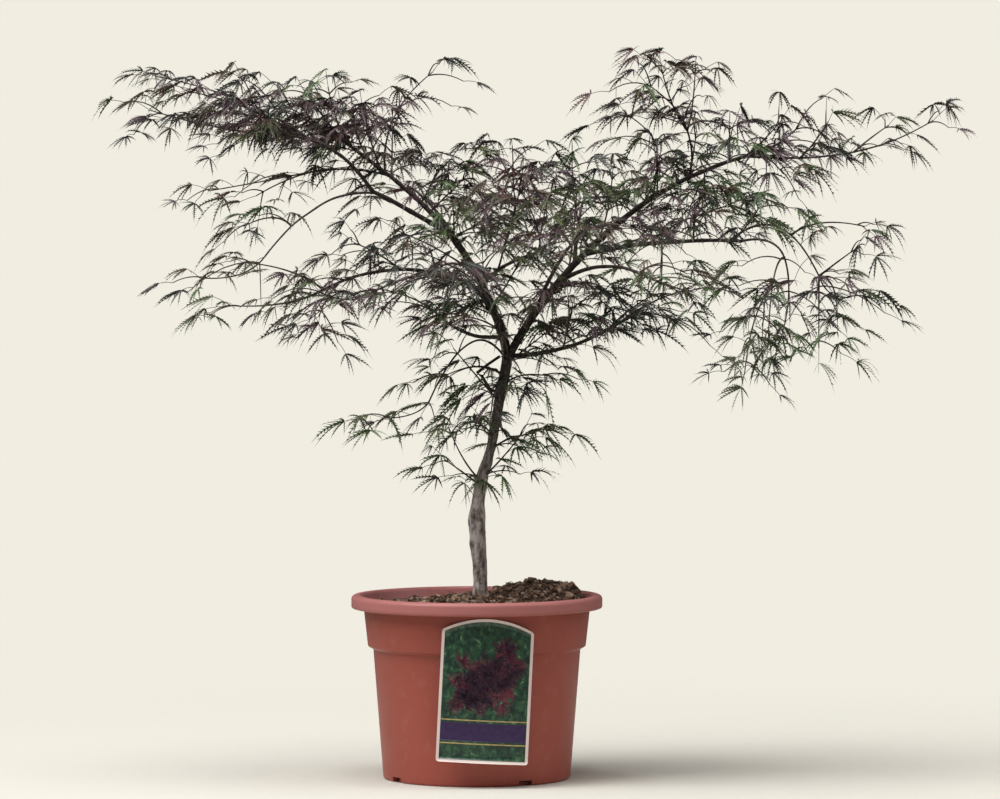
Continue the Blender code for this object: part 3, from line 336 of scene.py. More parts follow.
# Finer sprays that stand between the masses. Their stems' ends are given as reaches from where they leave
# their limbs.
SPRAYS = tuple(Mass(*row) for row in (
    ("left_far_top_spray", "left_far", 0.75, (-0.17, 0.02, 0.07), 0.045, 3, FULL, PURPLE),
    ("left_far_side_spray", "left_far", 0.85, (-0.12, -0.02, 0.05), 0.050, 4, FULL, PURPLE),
    ("left_far_low_spray", "left_far", 0.80, (-0.15, 0.05, 0.02), 0.040, 3, FULL, PURPLE),
    ("left_far_under_spray", "left_far", 0.50, (-0.07, 0.03, 0.02), 0.045, 3, OPEN, DARK),
    ("left_far_end_spray", "left_far", 0.95, (-0.04, -0.02, 0.04), 0.045, 4, FULL, DARK),
    ("left_upper_spray", "left_upper", 0.80, (-0.02, -0.02, 0.06), 0.050, 4, DENSE, PURPLE),
    ("left_upper_near_spray", "left_upper", 0.70, (-0.02, -0.05, 0.07), 0.045, 4, DENSE, DARK),
    ("left_upper_end_spray", "left_upper", 0.95, (-0.03, -0.02, 0.07), 0.045, 4, DENSE, DARK),
    ("left_upper_side_spray", "left_upper", 0.60, (0.00, 0.05, 0.06), 0.050, 3, DENSE, DARK),
    ("left_upper_far_spray", "left_upper", 0.95, (-0.08, -0.02, 0.05), 0.050, 4, DENSE, PURPLE),
    ("left_upper_top_spray", "left_upper", 0.95, (-0.06, 0.01, 0.07), 0.045, 4, FULL, PURPLE),
    ("left_upper_low_spray", "left_upper", 0.30, (0.02, -0.03, 0.04), 0.040, 2, DENSE, DARK),
    ("left_upper_inner_spray", "left_upper", 0.20, (0.04, 0.03, 0.04), 0.040, 3, DENSE, DARK),
    ("left_spray", "left", 0.60, (-0.09, 0.02, 0.05), 0.050, 4, OPEN, DARK),
    ("left_side_spray", "left", 0.50, (-0.07, -0.04, 0.04), 0.045, 3, OPEN, DARK),
    ("left_fork_spray", "left", 0.50, (0.00, -0.05, 0.03), 0.045, 4, FULL, DARK),
    ("left_fork_high_spray", "left", 0.35, (0.03, -0.04, 0.05), 0.045, 4, FULL, DARK),
    ("left_fork_low_spray", "left", 0.15, (-0.05, -0.04, 0.02), 0.045, 3, OPEN, DARK),
    ("left_bend_spray", "left", 0.90, (0.00, -0.05, 0.03), 0.045, 4, FULL, DARK),
    ("left_bend_side_spray", "left", 0.90, (-0.05, -0.04, -0.01), 0.045, 3, FULL, DARK),
    ("left_tip_spray", "left", 0.90, (0.04, -0.03, 0.02), 0.040, 3, DENSE, DARK),
    ("left_root_spray", "left", 0.25, (-0.04, -0.05, 0.03), 0.045, 3, DENSE, DARK),
    ("left_front_spray", "left", 0.40, (-0.05, -0.07, -0.03), 0.045, 3, FULL, DARK),
    ("left_middle_spray", "left_middle", 0.60, (-0.09, 0.01, -0.03), 0.040, 3, THIN, PURPLE),
    ("left_arching_spray", "left_arching", 0.70, (-0.05, -0.05, 0.00), 0.045, 3, THIN, DARK),
    ("left_low_upper_spray", "left_low", 0.50, (-0.05, -0.03, 0.03), 0.045, 3, FULL, DARK),
    ("left_low_hanging_spray", "left_low", 0.80, (-0.03, -0.06, -0.04), 0.045, 3, FULL, DARK),
    ("left_low_far_spray", "left_low", 0.95, (-0.09, 0.02, 0.03), 0.040, 3, OPEN, DARK),
    ("trunk_front_spray", "trunk", 0.85, (-0.01, -0.06, -0.01), 0.035, 2, DENSE, GREEN),
    ("trunk_left_spray", "trunk", 0.80, (-0.05, -0.05, 0.06), 0.040, 3, OPEN, GREEN),
    ("trunk_left_low_spray", "trunk", 0.45, (-0.04, -0.01, 0.03), 0.020, 2, THIN, GREEN),
    ("trunk_front_low_spray", "trunk", 0.65, (-0.02, -0.05, 0.02), 0.035, 3, FULL, GREEN),
    ("trunk_right_spray", "trunk", 0.60, (0.05, -0.03, 0.02), 0.040, 3, OPEN, GREEN),
    ("fork_right_spray", "trunk", 0.95, (0.05, -0.02, 0.04), 0.045, 3, FULL, DARK),
    ("centre_top_spray", "centre_upright", 0.90, (0.01, -0.04, 0.05), 0.045, 3, DENSE, PURPLE),
    ("centre_top_right_spray", "right", 0.90, (-0.02, -0.03, 0.10), 0.050, 4, DENSE, DARK),
    ("centre_right_spray", "right", 0.95, (0.02, 0.03, 0.08), 0.050, 4, FULL, DARK),
    ("right_spray", "right", 0.70, (0.01, 0.05, 0.08), 0.050, 4, FULL, DARK),
    ("right_root_spray", "right", 0.50, (0.03, -0.05, 0.01), 0.045, 4, FULL, DARK),
    ("right_crown_spray", "right_upright", 0.90, (-0.03, -0.03, 0.07), 0.045, 3, DENSE, PURPLE),
    ("right_crown_side_spray", "right_upright", 0.90, (0.01, 0.03, 0.07), 0.040, 3, OPEN, PURPLE),
    ("right_inner_spray", "right_upper", 0.30, (0.02, -0.03, 0.06), 0.045, 3, DENSE, DARK),
    ("right_upper_spray", "right_upper", 0.40, (0.00, -0.03, 0.03), 0.050, 4, FULL, DARK),
    ("right_upper_side_spray", "right_upper", 0.60, (0.01, 0.03, 0.05), 0.050, 3, THIN, DARK),
    ("right_upper_under_spray", "right_upper", 0.70, (0.00, -0.02, -0.03), 0.050, 4, DENSE, GREEN),
    ("right_upper_low_spray", "right_upper", 0.95, (0.04, -0.04, -0.02), 0.045, 3, DENSE, DARK),
    ("right_upper_far_spray", "right_upper", 0.95, (0.04, 0.00, 0.04), 0.035, 3, OPEN, PURPLE),
    ("right_upper_top_spray", "right_upper", 0.85, (0.00, -0.02, 0.04), 0.045, 4, FULL, DARK),
    ("right_long_near_spray", "right_long", 0.40, (0.03, -0.02, 0.04), 0.028, 3, OPEN, DARK),
    ("right_long_mid_spray", "right_long", 0.80, (0.04, 0.02, 0.03), 0.028, 3, OPEN, DARK),
    ("right_level_upper_spray", "right_level", 0.70, (0.00, -0.03, 0.04), 0.045, 4, DENSE, DARK),
    ("right_level_outer_spray", "right_level", 0.95, (0.03, -0.02, 0.04), 0.045, 4, FULL, DARK),
    ("right_middle_low_spray", "right_level", 0.50, (0.00, -0.01, -0.03), 0.045, 4, FULL, GREEN),
    ("right_mid_upper_spray", "right_mid", 0.90, (0.05, -0.05, 0.00), 0.045, 3, THIN, DARK),
    ("right_low_spray", "right_low", 0.45, (0.01, -0.05, 0.05), 0.050, 4, DENSE, DARK),
    ("right_low_outer_spray", "right_low", 0.70, (0.02, -0.02, 0.05), 0.045, 3, DENSE, GREEN),
    ("right_low_hanging_spray", "right_low", 0.85, (0.05, -0.06, 0.04), 0.040, 3, THIN, GREEN),
    ("right_low_outer_hanging_spray", "right_low", 0.95, (0.08, -0.04, 0.04), 0.040, 3, THIN, GREEN),
    ("right_hanging_inner_spray", "right_hanging", 0.65, (-0.02, -0.05, -0.09), 0.045, 4, THIN, GREEN),
    ("right_hanging_low_spray", "right_hanging", 0.95, (-0.05, -0.04, -0.10), 0.045, 5, DENSE, GREEN),
    ("right_drooping_upper_spray", "right_drooping", 0.55, (0.08, -0.03, 0.01), 0.035, 2, THIN, DARK),
    ("right_drooping_far_spray", "right_drooping", 0.95, (0.04, 0.00, 0.03), 0.030, 2, THIN, DARK),
    ("right_drooping_side_spray", "right_drooping", 0.95, (0.02, -0.01, -0.05), 0.030, 2, THIN, GREEN),
    ("right_drooping_low_spray", "right_drooping", 0.95, (0.00, 0.00, -0.08), 0.035, 3, OPEN, GREEN),
))

# Bark.
BOUGH_ENDING = "_bough"
TRUNK_RINGS = 230
TRUNK_SIDES = 36
TRUNK_SMOOTHING = 14
# Relief of flutes, lumps and wrinkles: how fine each is around the trunk, its length along it, its shift
# and its height.
BARK_RELIEF = ((1.6, 0.055, 0.0, 0.0009), (2.2, 0.014, 9.0, 0.0006), (5.0, 0.0035, 0.0, 0.0003))
ROOT_COUNT = 4
ROOT_TURN = 0.7
ROOT_RISE = 0.008
ROOT_HEIGHT = 0.0008
# Bark scars: height, turn about the trunk, height of the lump and its width.
SCARS = (
    (0.262, 3.4, 0.0014, 0.005),
    (0.290, 3.3, 0.0014, 0.008),
    (0.320, 4.6, 0.0014, 0.004),
    (0.333, 5.6, 0.0012, 0.006),
    (0.352, 0.4, 0.0012, 0.005),
    (0.405, 3.9, 0.0010, 0.004),
    (0.441, 5.2, 0.0012, 0.004),
)
# A broken stub: the places its bark runs through, and its radius at both ends.
STUB = (
    (0.0250, -0.003, 0.4290),
    (0.0147, -0.007, 0.4341),
    (0.0100, -0.008, 0.4414),
    (0.0058, -0.008, 0.4486),
    (0.0002, -0.008, 0.4526),
    (0.0124, -0.007, 0.4618),
    (0.0258, -0.006, 0.4709),
)
# The trunk's colours by place along its streaks, low down and near the fork, and between which heights
# one gives way to the other.
TRUNK_LOW = ((0.36, (0.085, 0.062, 0.056)), (0.47, (0.310, 0.255, 0.240)), (0.58, (0.640, 0.570, 0.550)))
TRUNK_HIGH = ((0.36, (0.035, 0.026, 0.022)), (0.50, (0.085, 0.066, 0.056)), (0.64, (0.170, 0.140, 0.120)))
TRUNK_DARKENING = (0.31, 0.40)
PORES = ((0.62, 0.0), (0.72, 0.6))
PORE_COLOUR = (0.24, 0.19, 0.16)
BOUGH_COLOURS = ((0.35, (0.018, 0.012, 0.011)), (0.55, (0.045, 0.030, 0.026)), (0.75, (0.095, 0.068, 0.058)))
SHOOT_COLOURS = ((0.030, 0.016, 0.016), (0.062, 0.036, 0.032))
PETIOLE_COLOURS = ((0.040, 0.018, 0.019), (0.080, 0.040, 0.034))
STUB_THICK = 0.0018
STUB_THIN = 0.0016
BOUGH_SIDES = 10
# Boughs that are finer than THICK_BOUGH at the foot are drawn slimmer than their solids.
THICK_BOUGH = 0.0022
SLIMNESS = 0.72
NODE_SPACING = 0.027
NODE_SWELLING = 0.16
NODE_SHARPNESS = 6
COLLAR_LENGTH = 0.006
COLLAR_FLARE = 0.25
STEM_SPANS = 14
STEM_RUN_OUT = 0.42
SIDE_RISE = 0.8
SIDE_DROP = 0.025
STEM_THIN = 0.0006
SIDE_STEM_THICK = 0.0012
LIMB_SPANS = 40
LIMB_WANDER = 0.0011
LIMB_WANDER_LENGTH = 0.035
LIMB_WANDER_STEP = 7.3
LIMB_WANDER_SEED = 1

# Shoots leave a mass's stem in pairs, as its solid's twigs do, and leaves leave each shoot in pairs.
FIRST_PAIR_SHARE = 0.10
LAST_PAIR_SHARE = 0.90
TWIG_FORWARD = 48
TWIG_TAPER = 0.35
SHOOT_LEVEL = 0.55
PAIR_TURN = 80
EXTRA_PAIRS = 1
SHOOT_LENGTH = 1.05
SHOOT_SAG = 0.16
SHOOT_THICK = 0.0009
SHOOT_THIN = 0.0005
SHOOT_SPANS = 6
SHOOT_SIDES = 5
SHOOT_TURNS = 25
SHOOT_OPENINGS = 10
SHOOT_REACHES = (0.75, 1.15)
SHOOT_ARCHES = (0.6, 1.4)
LEAF_SPACING = 0.019
LEAF_STEPS = 0.2
LEAF_TURNS = 20
PETIOLE_LENGTH = 0.017
PETIOLE_LENGTHS = (0.7, 1.3)
PETIOLE_OPEN = 50
PETIOLE_OPENINGS = 14
PETIOLE_RISE = 0.40
PETIOLE_RISES = (0.4, 1.4)
PETIOLE_SHOULDER = 0.55
PETIOLE_SHOULDER_RISE = 1.5
PETIOLE_RADIUS = 0.00042
PETIOLE_TAPER = 0.8
PETIOLE_SPANS = 3
PETIOLE_SIDES = 3
# The bare share of a bough, a mass's stem and a shoot, before the first leaves.
BOUGH_BARE = 0.45
STEM_BARE = 0.12
SHOOT_BARE = 0.30
# A leaf past the crown's box by more than the margin is drawn in, and left out if it stays outside.
CROWN_MARGIN = 0.012
DRAWING_IN = 0.75
DRAWING_IN_TRIES = 3

# Leaf: each lobe's angle from the middle one, its reach, and its pairs of side teeth.
LEAF_SIZE = 0.032
LOBES = ((0, 1.0, 7), (22, 0.94, 7), (46, 0.78, 6), (76, 0.55, 4))
RIB_HALF = 0.030
LOBE_NECK = 0.07
LOBE_SWING = 0.15
LOBE_VARIATION = 0.15
LOBE_ROLL = 0.95
LOBE_BENDS = (0.6, 1.4)
LOBE_DROP = 0.5
LOBE_SHORTENING = 0.15
LOBE_TAPER = 0.7
FIRST_TOOTH = 0.12
LAST_TOOTH = 0.80
TOOTH_BASE = 0.56
LONGEST_TOOTH = 0.35
TOOTH_LENGTH = 0.150
TOOTH_STAGGER = 0.022
TOOTH_TAPER = 1.25
TOOTH_OPEN = math.radians(38)
TOOTH_FOLD = 0.20
TOOTH_REACHES = (0.6, 1.25)
LEAF_ROLL = 0.45
LEAF_SEED = 11
LEAF_KEEPING = 0.85
LEAF_PITCH = (-0.10, 0.50)
LEAF_DROOP = (0.40, 1.10)
LEAF_VARIATION = 0.28


# Finishes: roughness and gloss, the pattern of the colours, the pattern and range of the roughness, and the
# patterns and depth of the relief. A pattern is its scale, detail, stretch, roughness and distortion.
Finish = namedtuple("Finish", "shine pattern rough relief depth", defaults=(None, (), 0.0))
BOUGH_BARK = Finish((0.7, 0.35), (260.0, 5.0), ((120.0,), 0.5, 0.8), ((500.0, 4.0),), 0.0003)
SHOOT_BARK = Finish((0.55, 0.4), (90.0,), ((200.0, 2.0), 0.45, 0.65))
PETIOLE_SKIN = Finish((0.5, 0.4), (60.0,), ((200.0, 2.0), 0.4, 0.6))
LEAF_SKIN = Finish((0.5, 0.4), (35.0, 3.0), ((180.0, 2.0), 0.42, 0.62))
COMPOST = Finish((0.9, 0.25), (260.0, 6.0, EVEN, 0.7), ((120.0, 3.0), 0.75, 0.98), ((900.0, 4.0),), 0.0006)
CARD = Finish((0.28, 0.5), (14.0, 2.0), None, ((500.0, 2.0),), 0.00002)
PRINTED_GROUND = Finish((0.3, 0.5), (150.0, 5.0, (1.0, 1.0, 0.8), 0.65, 0.6))
PRINTED_INK = Finish((0.3, 0.5), (220.0, 3.0))


# ---------------------------------------------------------------- meshes and materials


class Heap:
    """Points and triangles that are gathered from many small shapes into one mesh."""

    def __init__(self):
        self.points = []
        self.triangles = []
        self.count = 0

    def add(self, points, triangles):
        """Take in a shape's points and its triangles."""
        points = np.asarray(points, np.float64).reshape(-1, 3)
        self.points.append(points)
        self.triangles.append(np.asarray(triangles, np.int64).reshape(-1, 3) + self.count)
        self.count += len(points)

    def piece(self, name, look, slot, replaced=(), smooth=True):
        """The gathered mesh as one piece of the model."""
        points = np.concatenate(self.points)
        triangles = np.concatenate(self.triangles)
        mesh = bpy.data.meshes.new(name)
        mesh.vertices.add(len(points))
        mesh.vertices.foreach_set("co", points.astype(np.float32).ravel())
        mesh.loops.add(3 * len(triangles))
        mesh.loops.foreach_set("vertex_index", triangles.astype(np.int32).ravel())
        mesh.polygons.add(len(triangles))
        mesh.polygons.foreach_set("loop_start", np.arange(0, 3 * len(triangles), 3, dtype=np.int32))
        mesh.polygons.foreach_set("use_smooth", np.full(len(triangles), smooth))
        mesh.update(calc_edges=True)
        return as_piece(name, mesh, look, replaced)


def as_piece(name, mesh, look, replaced=()):
    """An object for a mesh that rides on the plant, wears the given finish and stands for CAD nodes."""
    thing = bpy.data.objects.new(name, mesh)
    bpy.context.scene.collection.objects.link(thing)
    mesh.materials.clear()
    mesh.materials.append(look)
    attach(thing, "root")
    if replaced:
        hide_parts(*replaced)
    return thing


def grid_triangles(rows, columns, closed):
    """Two triangles for each cell of a grid of points whose rows close into rings, or don't."""
    across = np.arange(columns if closed else columns - 1)
    there = (across + 1) % columns
    starts = np.arange(rows - 1)[:, None] * columns
    here_low, there_low = starts + across, starts + there
    here_high, there_high = here_low + columns, there_low + columns
    first = np.stack([here_low, there_low, there_high], axis=-1)
    second = np.stack([here_low, there_high, here_high], axis=-1)
    return np.concatenate([first.reshape(-1, 3), second.reshape(-1, 3)])


def fan_triangles(centre, first, count, onward):
    """Triangles from a centre to each side of a ring, one way round or the other."""
    here = np.arange(count)
    there = (here + 1) % count
    start, end = (here, there) if onward else (there, here)
    return np.stack([np.full(count, centre), first + start, first + end], axis=-1)


def circle_points(steps):
    """Points around a flat circle of radius one."""
    turn = np.arange(steps) * math.tau / steps
    return np.stack([np.cos(turn), np.sin(turn)], axis=-1)


def unit(vectors):
    """The vectors at length one."""
    return vectors / np.maximum(np.linalg.norm(vectors, axis=-1, keepdims=True), SHORTEST)


def ring_frames(points):
    """Two axes across a route at each of its points, turned as little as possible from one to the next."""
    ways = unit(np.gradient(points, axis=0))
    side = np.cross(ways[0], (0.0, 0.0, 1.0))
    if np.linalg.norm(side) < STEEP:
        side = np.array((1.0, 0.0, 0.0))
    sides = np.empty_like(points)
    for index, way in enumerate(ways):
        side = side - way * (side @ way)
        side = side / np.linalg.norm(side)
        sides[index] = side
    return sides, np.cross(ways, sides)


def tube(points, radii, sides, relief=None):
    """A closed tube along a route. The relief says how far the bark stands off at each ring and side."""
    points = np.asarray([tuple(point) for point in points], np.float64)
    radii = np.asarray(radii, np.float64)[:, None].repeat(sides, axis=1)
    across, lift = ring_frames(points)
    if relief is not None:
        radii = radii + relief
    x, y = circle_points(sides).T[:, None, :, None]
    spread = x * across[:, None, :] + y * lift[:, None, :]
    rings = points[:, None, :] + radii[:, :, None] * spread
    corners = np.concatenate([rings.reshape(-1, 3), points[:1], points[-1:]])
    foot_cap = fan_triangles(len(corners) - 2, 0, sides, False)
    tip_cap = fan_triangles(len(corners) - 1, (len(points) - 1) * sides, sides, True)
    return corners, np.concatenate([grid_triangles(len(points), sides, True), foot_cap, tip_cap])


class Look:
    """A Principled material whose nodes are linked by short calls."""

    def __init__(self, name, roughness, specular=0.5):
        self.material = bpy.data.materials.new(name)
        self.material.use_nodes = True
        self.nodes = self.material.node_tree.nodes
        self.links = self.material.node_tree.links
        self.shader = self.nodes["Principled BSDF"]
        self.shader.inputs["Roughness"].default_value = roughness
        self.shader.inputs["Specular IOR Level"].default_value = specular
        self.place = self.nodes.new("ShaderNodeTexCoord").outputs["Object"]

    def scaled(self, scale):
        """The place on the object, scaled along each axis."""
        mapping = self.nodes.new("ShaderNodeMapping")
        mapping.inputs["Scale"].default_value = scale
        self.links.new(self.place, mapping.inputs["Vector"])
        return mapping.outputs["Vector"]

    def noise(self, scale, detail=4.0, stretch=EVEN, roughness=0.55, distortion=0.0):
        """A noise pattern, with features about one over the scale in size."""
        made = self.nodes.new("ShaderNodeTexNoise")
        made.inputs["Scale"].default_value = scale
        made.inputs["Detail"].default_value = detail
        made.inputs["Roughness"].default_value = roughness
        made.inputs["Distortion"].default_value = distortion
        self.links.new(self.scaled(stretch), made.inputs["Vector"])
        return made.outputs["Fac"]

    def ramp(self, fac, stops):
        """Colours or greys by a factor: each stop is a place from 0 to 1 and a colour."""
        made = self.nodes.new("ShaderNodeValToRGB")
        elements = made.color_ramp.elements
        while len(elements) < len(stops):
            elements.new(0.5)
        for element, (spot, colour) in zip(elements, stops):
            element.position = spot
            element.color = (*colour, 1.0) if isinstance(colour, tuple) else (colour, colour, colour, 1.0)
        self.links.new(fac, made.inputs["Fac"])
        return made.outputs["Color"]

    def mix(self, fac, low, high):
        """One colour or the other by a factor."""
        made = self.nodes.new("ShaderNodeMix")
        made.data_type = "RGBA"
        for socket, value in ((made.inputs[0], fac), (made.inputs[6], low), (made.inputs[7], high)):
            if isinstance(value, bpy.types.NodeSocket):
                self.links.new(value, socket)
            elif isinstance(value, tuple):
                socket.default_value = (*value, 1.0)
            else:
                socket.default_value = value
        return made.outputs[2]

    def colour(self, socket):
        """Colour the surface from a socket."""
        self.links.new(socket, self.shader.inputs["Base Color"])

    def rough(self, fac, low, high):
        """Vary the roughness between two values by a factor."""
        made = self.nodes.new("ShaderNodeMapRange")
        made.inputs["To Min"].default_value = low
        made.inputs["To Max"].default_value = high
        self.links.new(fac, made.inputs["Value"])
        self.links.new(made.outputs["Result"], self.shader.inputs["Roughness"])

    def climb(self, low, high):
        """A factor that rises from 0 to 1 between two heights."""
        split = self.nodes.new("ShaderNodeSeparateXYZ")
        self.links.new(self.place, split.inputs["Vector"])
        made = self.nodes.new("ShaderNodeMapRange")
        made.inputs["From Min"].default_value = low
        made.inputs["From Max"].default_value = high
        self.links.new(split.outputs["Z"], made.inputs["Value"])
        return made.outputs["Result"]

    def bump(self, heights, distance):
        """Relief from one or more height patterns, each laid over the one before."""
        normal = None
        for height in heights:
            made = self.nodes.new("ShaderNodeBump")
            made.inputs["Distance"].default_value = distance
            made.inputs["Strength"].default_value = 1.0
            self.links.new(height, made.inputs["Height"])
            if normal:
                self.links.new(normal, made.inputs["Normal"])
            normal = made.outputs["Normal"]
        self.links.new(normal, self.shader.inputs["Normal"])


def finished(name, finish, stops):
    """The material of a finish in its colours."""
    look = Look(name, *finish.shine)
    look.colour(look.ramp(look.noise(*finish.pattern), stops))
    if finish.rough:
        pattern, low, high = finish.rough
        look.rough(look.noise(*pattern), low, high)
    if finish.relief:
        look.bump([look.noise(*pattern) for pattern in finish.relief], finish.depth)
    return look.material


def shades(dark, light, edge=0.35):
    """The stops of a ramp from a dark colour to a light one."""
    return (edge, dark), (1 - edge, light)


# ---------------------------------------------------------------- studio


def build_camera():
    """The camera, level from side to side and tilted down a little."""
    data = bpy.data.cameras.new("camera")
    data.lens = CAMERA_LENS
    data.sensor_width = CAMERA_SENSOR
    camera = bpy.data.objects.new("camera", data)
    camera.location = CAMERA_PLACE
    camera.rotation_euler = (math.pi / 2 - CAMERA_PITCH, 0.0, 0.0)
    bpy.context.scene.collection.objects.link(camera)
    bpy.context.scene.camera = camera


def build_light(name, place, size, power):
    """A square area light that faces the plant."""
    data = bpy.data.lights.new(name, "AREA")
    data.size = size
    data.energy = power
    light = bpy.data.objects.new(name, data)
    light.location = place
    way = Vector(LIGHT_AIM) - Vector(place)
    light.rotation_euler = way.to_track_quat("-Z", "Y").to_euler()
    bpy.context.scene.collection.objects.link(light)


def build_studio():
    """A pale cream studio: an even world, soft lights, and a fading floor."""
    scene = bpy.context.scene
    scene.view_settings.view_transform = "Standard"
    world = bpy.data.worlds.new("studio")
    scene.world = world
    world.use_nodes = True
    nodes = world.node_tree.nodes
    links = world.node_tree.links
    seen = nodes["Background"]
    seen.inputs["Color"].default_value = (*CREAM, 1.0)
    lit = nodes.new("ShaderNodeBackground")
    lit.inputs["Color"].default_value = (*CREAM, 1.0)
    lit.inputs["Strength"].default_value = WORLD_LIGHT
    path = nodes.new("ShaderNodeLightPath")
    choose = nodes.new("ShaderNodeMixShader")
    links.new(path.outputs["Is Camera Ray"], choose.inputs["Fac"])
    links.new(lit.outputs["Background"], choose.inputs[1])
    links.new(seen.outputs["Background"], choose.inputs[2])
    links.new(choose.outputs["Shader"], nodes["World Output"].inputs["Surface"])
    for name, place, size, power in LIGHTS:
        build_light(name, place, size, power)
    build_floor()


def build_floor():
    """A pale disc that fades out towards its rim, so that no edge or horizon shows."""
    radii = np.linspace(0.0, FLOOR_RADIUS, FLOOR_RINGS + 1)[1:]
    flat = (radii[:, None, None] * circle_points(FLOOR_STEPS)[None]).reshape(-1, 2)
    points = np.pad(flat, ((0, 1), (0, 1)))
    middle = fan_triangles(len(flat), 0, FLOOR_STEPS, True)
    triangles = np.concatenate([grid_triangles(FLOOR_RINGS, FLOOR_STEPS, True)[:, ::-1], middle])
    mesh = bpy.data.meshes.new("floor")
    mesh.from_pydata(points.tolist(), [], triangles.tolist())
    look = Look("floor_paper", 0.9, 0.0)
    look.shader.inputs["Base Color"].default_value = (*FLOOR_COLOUR, 1.0)
    length = look.nodes.new("ShaderNodeVectorMath")
    length.operation = "LENGTH"
    look.links.new(look.place, length.inputs[0])
    fade = look.nodes.new("ShaderNodeMapRange")
    fade.interpolation_type = "SMOOTHSTEP"
    fade.inputs["From Min"].default_value = FLOOR_FADE[0]
    fade.inputs["From Max"].default_value = FLOOR_FADE[1]
    fade.inputs["To Min"].default_value = 1.0
    fade.inputs["To Max"].default_value = 0.0
    look.links.new(length.outputs["Value"], fade.inputs["Value"])
    look.links.new(fade.outputs["Result"], look.shader.inputs["Alpha"])
    mesh.materials.append(look.material)
    floor = bpy.data.objects.new("floor", mesh)
    bpy.context.scene.collection.objects.link(floor)


# ---------------------------------------------------------------- pot


def arc(centre, radius, first, last, count):
    """Points on an arc in the profile plane, from one angle to another."""
    points = []
    for index in range(count):
        angle = math.radians(first + (last - first) * index / (count - 1))
        points.append((centre[0] + radius * math.cos(angle), centre[1] + radius * math.sin(angle)))
    return points


def rounded(points, radius, count=4):
    """The profile with each inner corner cut by a short curve."""
    out = [points[0]]
    for before, corner, after in zip(points, points[1:], points[2:]):
        back = Vector(before) - Vector(corner)
        on = Vector(after) - Vector(corner)
        reach = min(radius, back.length * ROUNDING_LIMIT, on.length * ROUNDING_LIMIT)
        start = Vector(corner) + back.normalized() * reach
        end = Vector(corner) + on.normalized() * reach
        for index in range(count + 1):
            share = index / count
            bend = start * (1 - share) ** 2 + Vector(corner) * 2 * share * (1 - share) + end * share**2
            out.append(tuple(bend))
    out.append(points[-1])
    return out


def pot_profile():
    """The pot's section: up the inside, over the lip, down the outside and in along the underside."""
    lip_foot = POT_HEIGHT - LIP_DEPTH
    inside = [
        (0.0, POT_FLOOR),
        (BASE_RADIUS - POT_WALL, POT_FLOOR),
        (BODY_TOP_RADIUS - POT_WALL, BODY_TOP + STEP_RISE / 2),
        (COLLAR_FOOT_RADIUS - POT_WALL, BODY_TOP + STEP_RISE + POT_WALL / 2),
        (COLLAR_TOP_RADIUS - POT_WALL, lip_foot),
        (LIP_INNER_RADIUS, POT_HEIGHT - POT_WALL),
        (LIP_INNER_RADIUS + POT_WALL, POT_HEIGHT),
    ]
    shoulder = (LIP_RADIUS - LIP_ROUNDING, POT_HEIGHT - LIP_ROUNDING)
    heel = (LIP_RADIUS - LIP_ROUNDING / 2, lip_foot + LIP_ROUNDING / 2)
    lip = arc(shoulder, LIP_ROUNDING, 90, 0, LIP_POINTS) + arc(heel, LIP_ROUNDING / 2, 0, -90, HEEL_POINTS)
    outside = [
        (COLLAR_TOP_RADIUS, lip_foot),
        (COLLAR_FOOT_RADIUS, BODY_TOP + STEP_RISE),
        (BODY_TOP_RADIUS, BODY_TOP),
        (BASE_RADIUS, BASE_ROUNDING),
        (BASE_RADIUS - BASE_ROUNDING, 0.0),
        (0.0, 0.0),
    ]
    return rounded(inside, EDGE_ROUNDING) + lip + rounded(outside, EDGE_ROUNDING)


def build_pot():
    """The turned shell, with its drainage notches cut through the foot of the wall."""
    mesh = bpy.data.meshes.new("pot_shell")
    profile = pot_profile()
    points = [(radius, 0.0, height) for radius, height in profile]
    mesh.from_pydata(points, [(index, index + 1) for index in range(len(points) - 1)], [])
    pot = as_piece("pot_shell", mesh, pot_look(), ("pot",))
    turn = pot.modifiers.new("turn", "SCREW")
    turn.steps = POT_STEPS
    turn.render_steps = POT_STEPS
    turn.use_merge_vertices = True
    turn.merge_threshold = MERGE_DISTANCE
    for index, angle in enumerate(NOTCH_ANGLES):
        cutter = notch(f"notch_{index}", math.radians(angle))
        cut = pot.modifiers.new(cutter.name, "BOOLEAN")
        cut.operation = "DIFFERENCE"
        cut.solver = "EXACT"
        cut.object = cutter
    bake(pot)
    pot.data.shade_smooth()
    pot.data.set_sharp_from_angle(angle=math.radians(SHARP_ANGLE))
    for cutter in [thing for thing in bpy.data.objects if thing.name.startswith("notch_")]:
        bpy.data.objects.remove(cutter)


def notch(name, angle):
    """A block that cuts one drainage notch."""
    mesh = bpy.data.meshes.new(name)
    half = Vector((NOTCH_WIDTH / 2, NOTCH_DEPTH / 2, NOTCH_HEIGHT))
    signs = [(x, y, z) for x in (-1, 1) for y in (-1, 1) for z in (-1, 1)]
    corners = [(half.x * x, half.y * y - BASE_RADIUS, half.z * z) for x, y, z in signs]
    faces = [(0, 1, 3, 2), (4, 6, 7, 5), (0, 4, 5, 1), (2, 3, 7, 6), (0, 2, 6, 4), (1, 5, 7, 3)]
    mesh.from_pydata(corners, [], faces)
    mesh.transform(Matrix.Rotation(angle, 4, "Z"))
    cutter = bpy.data.objects.new(name, mesh)
    cutter.hide_render = True
    bpy.context.scene.collection.objects.link(cutter)
    return cutter


def bake(thing):
    """Apply the object's modifiers to its mesh."""
    graph = bpy.context.evaluated_depsgraph_get()
    mesh = bpy.data.meshes.new_from_object(thing.evaluated_get(graph))
    thing.modifiers.clear()
    thing.data = mesh


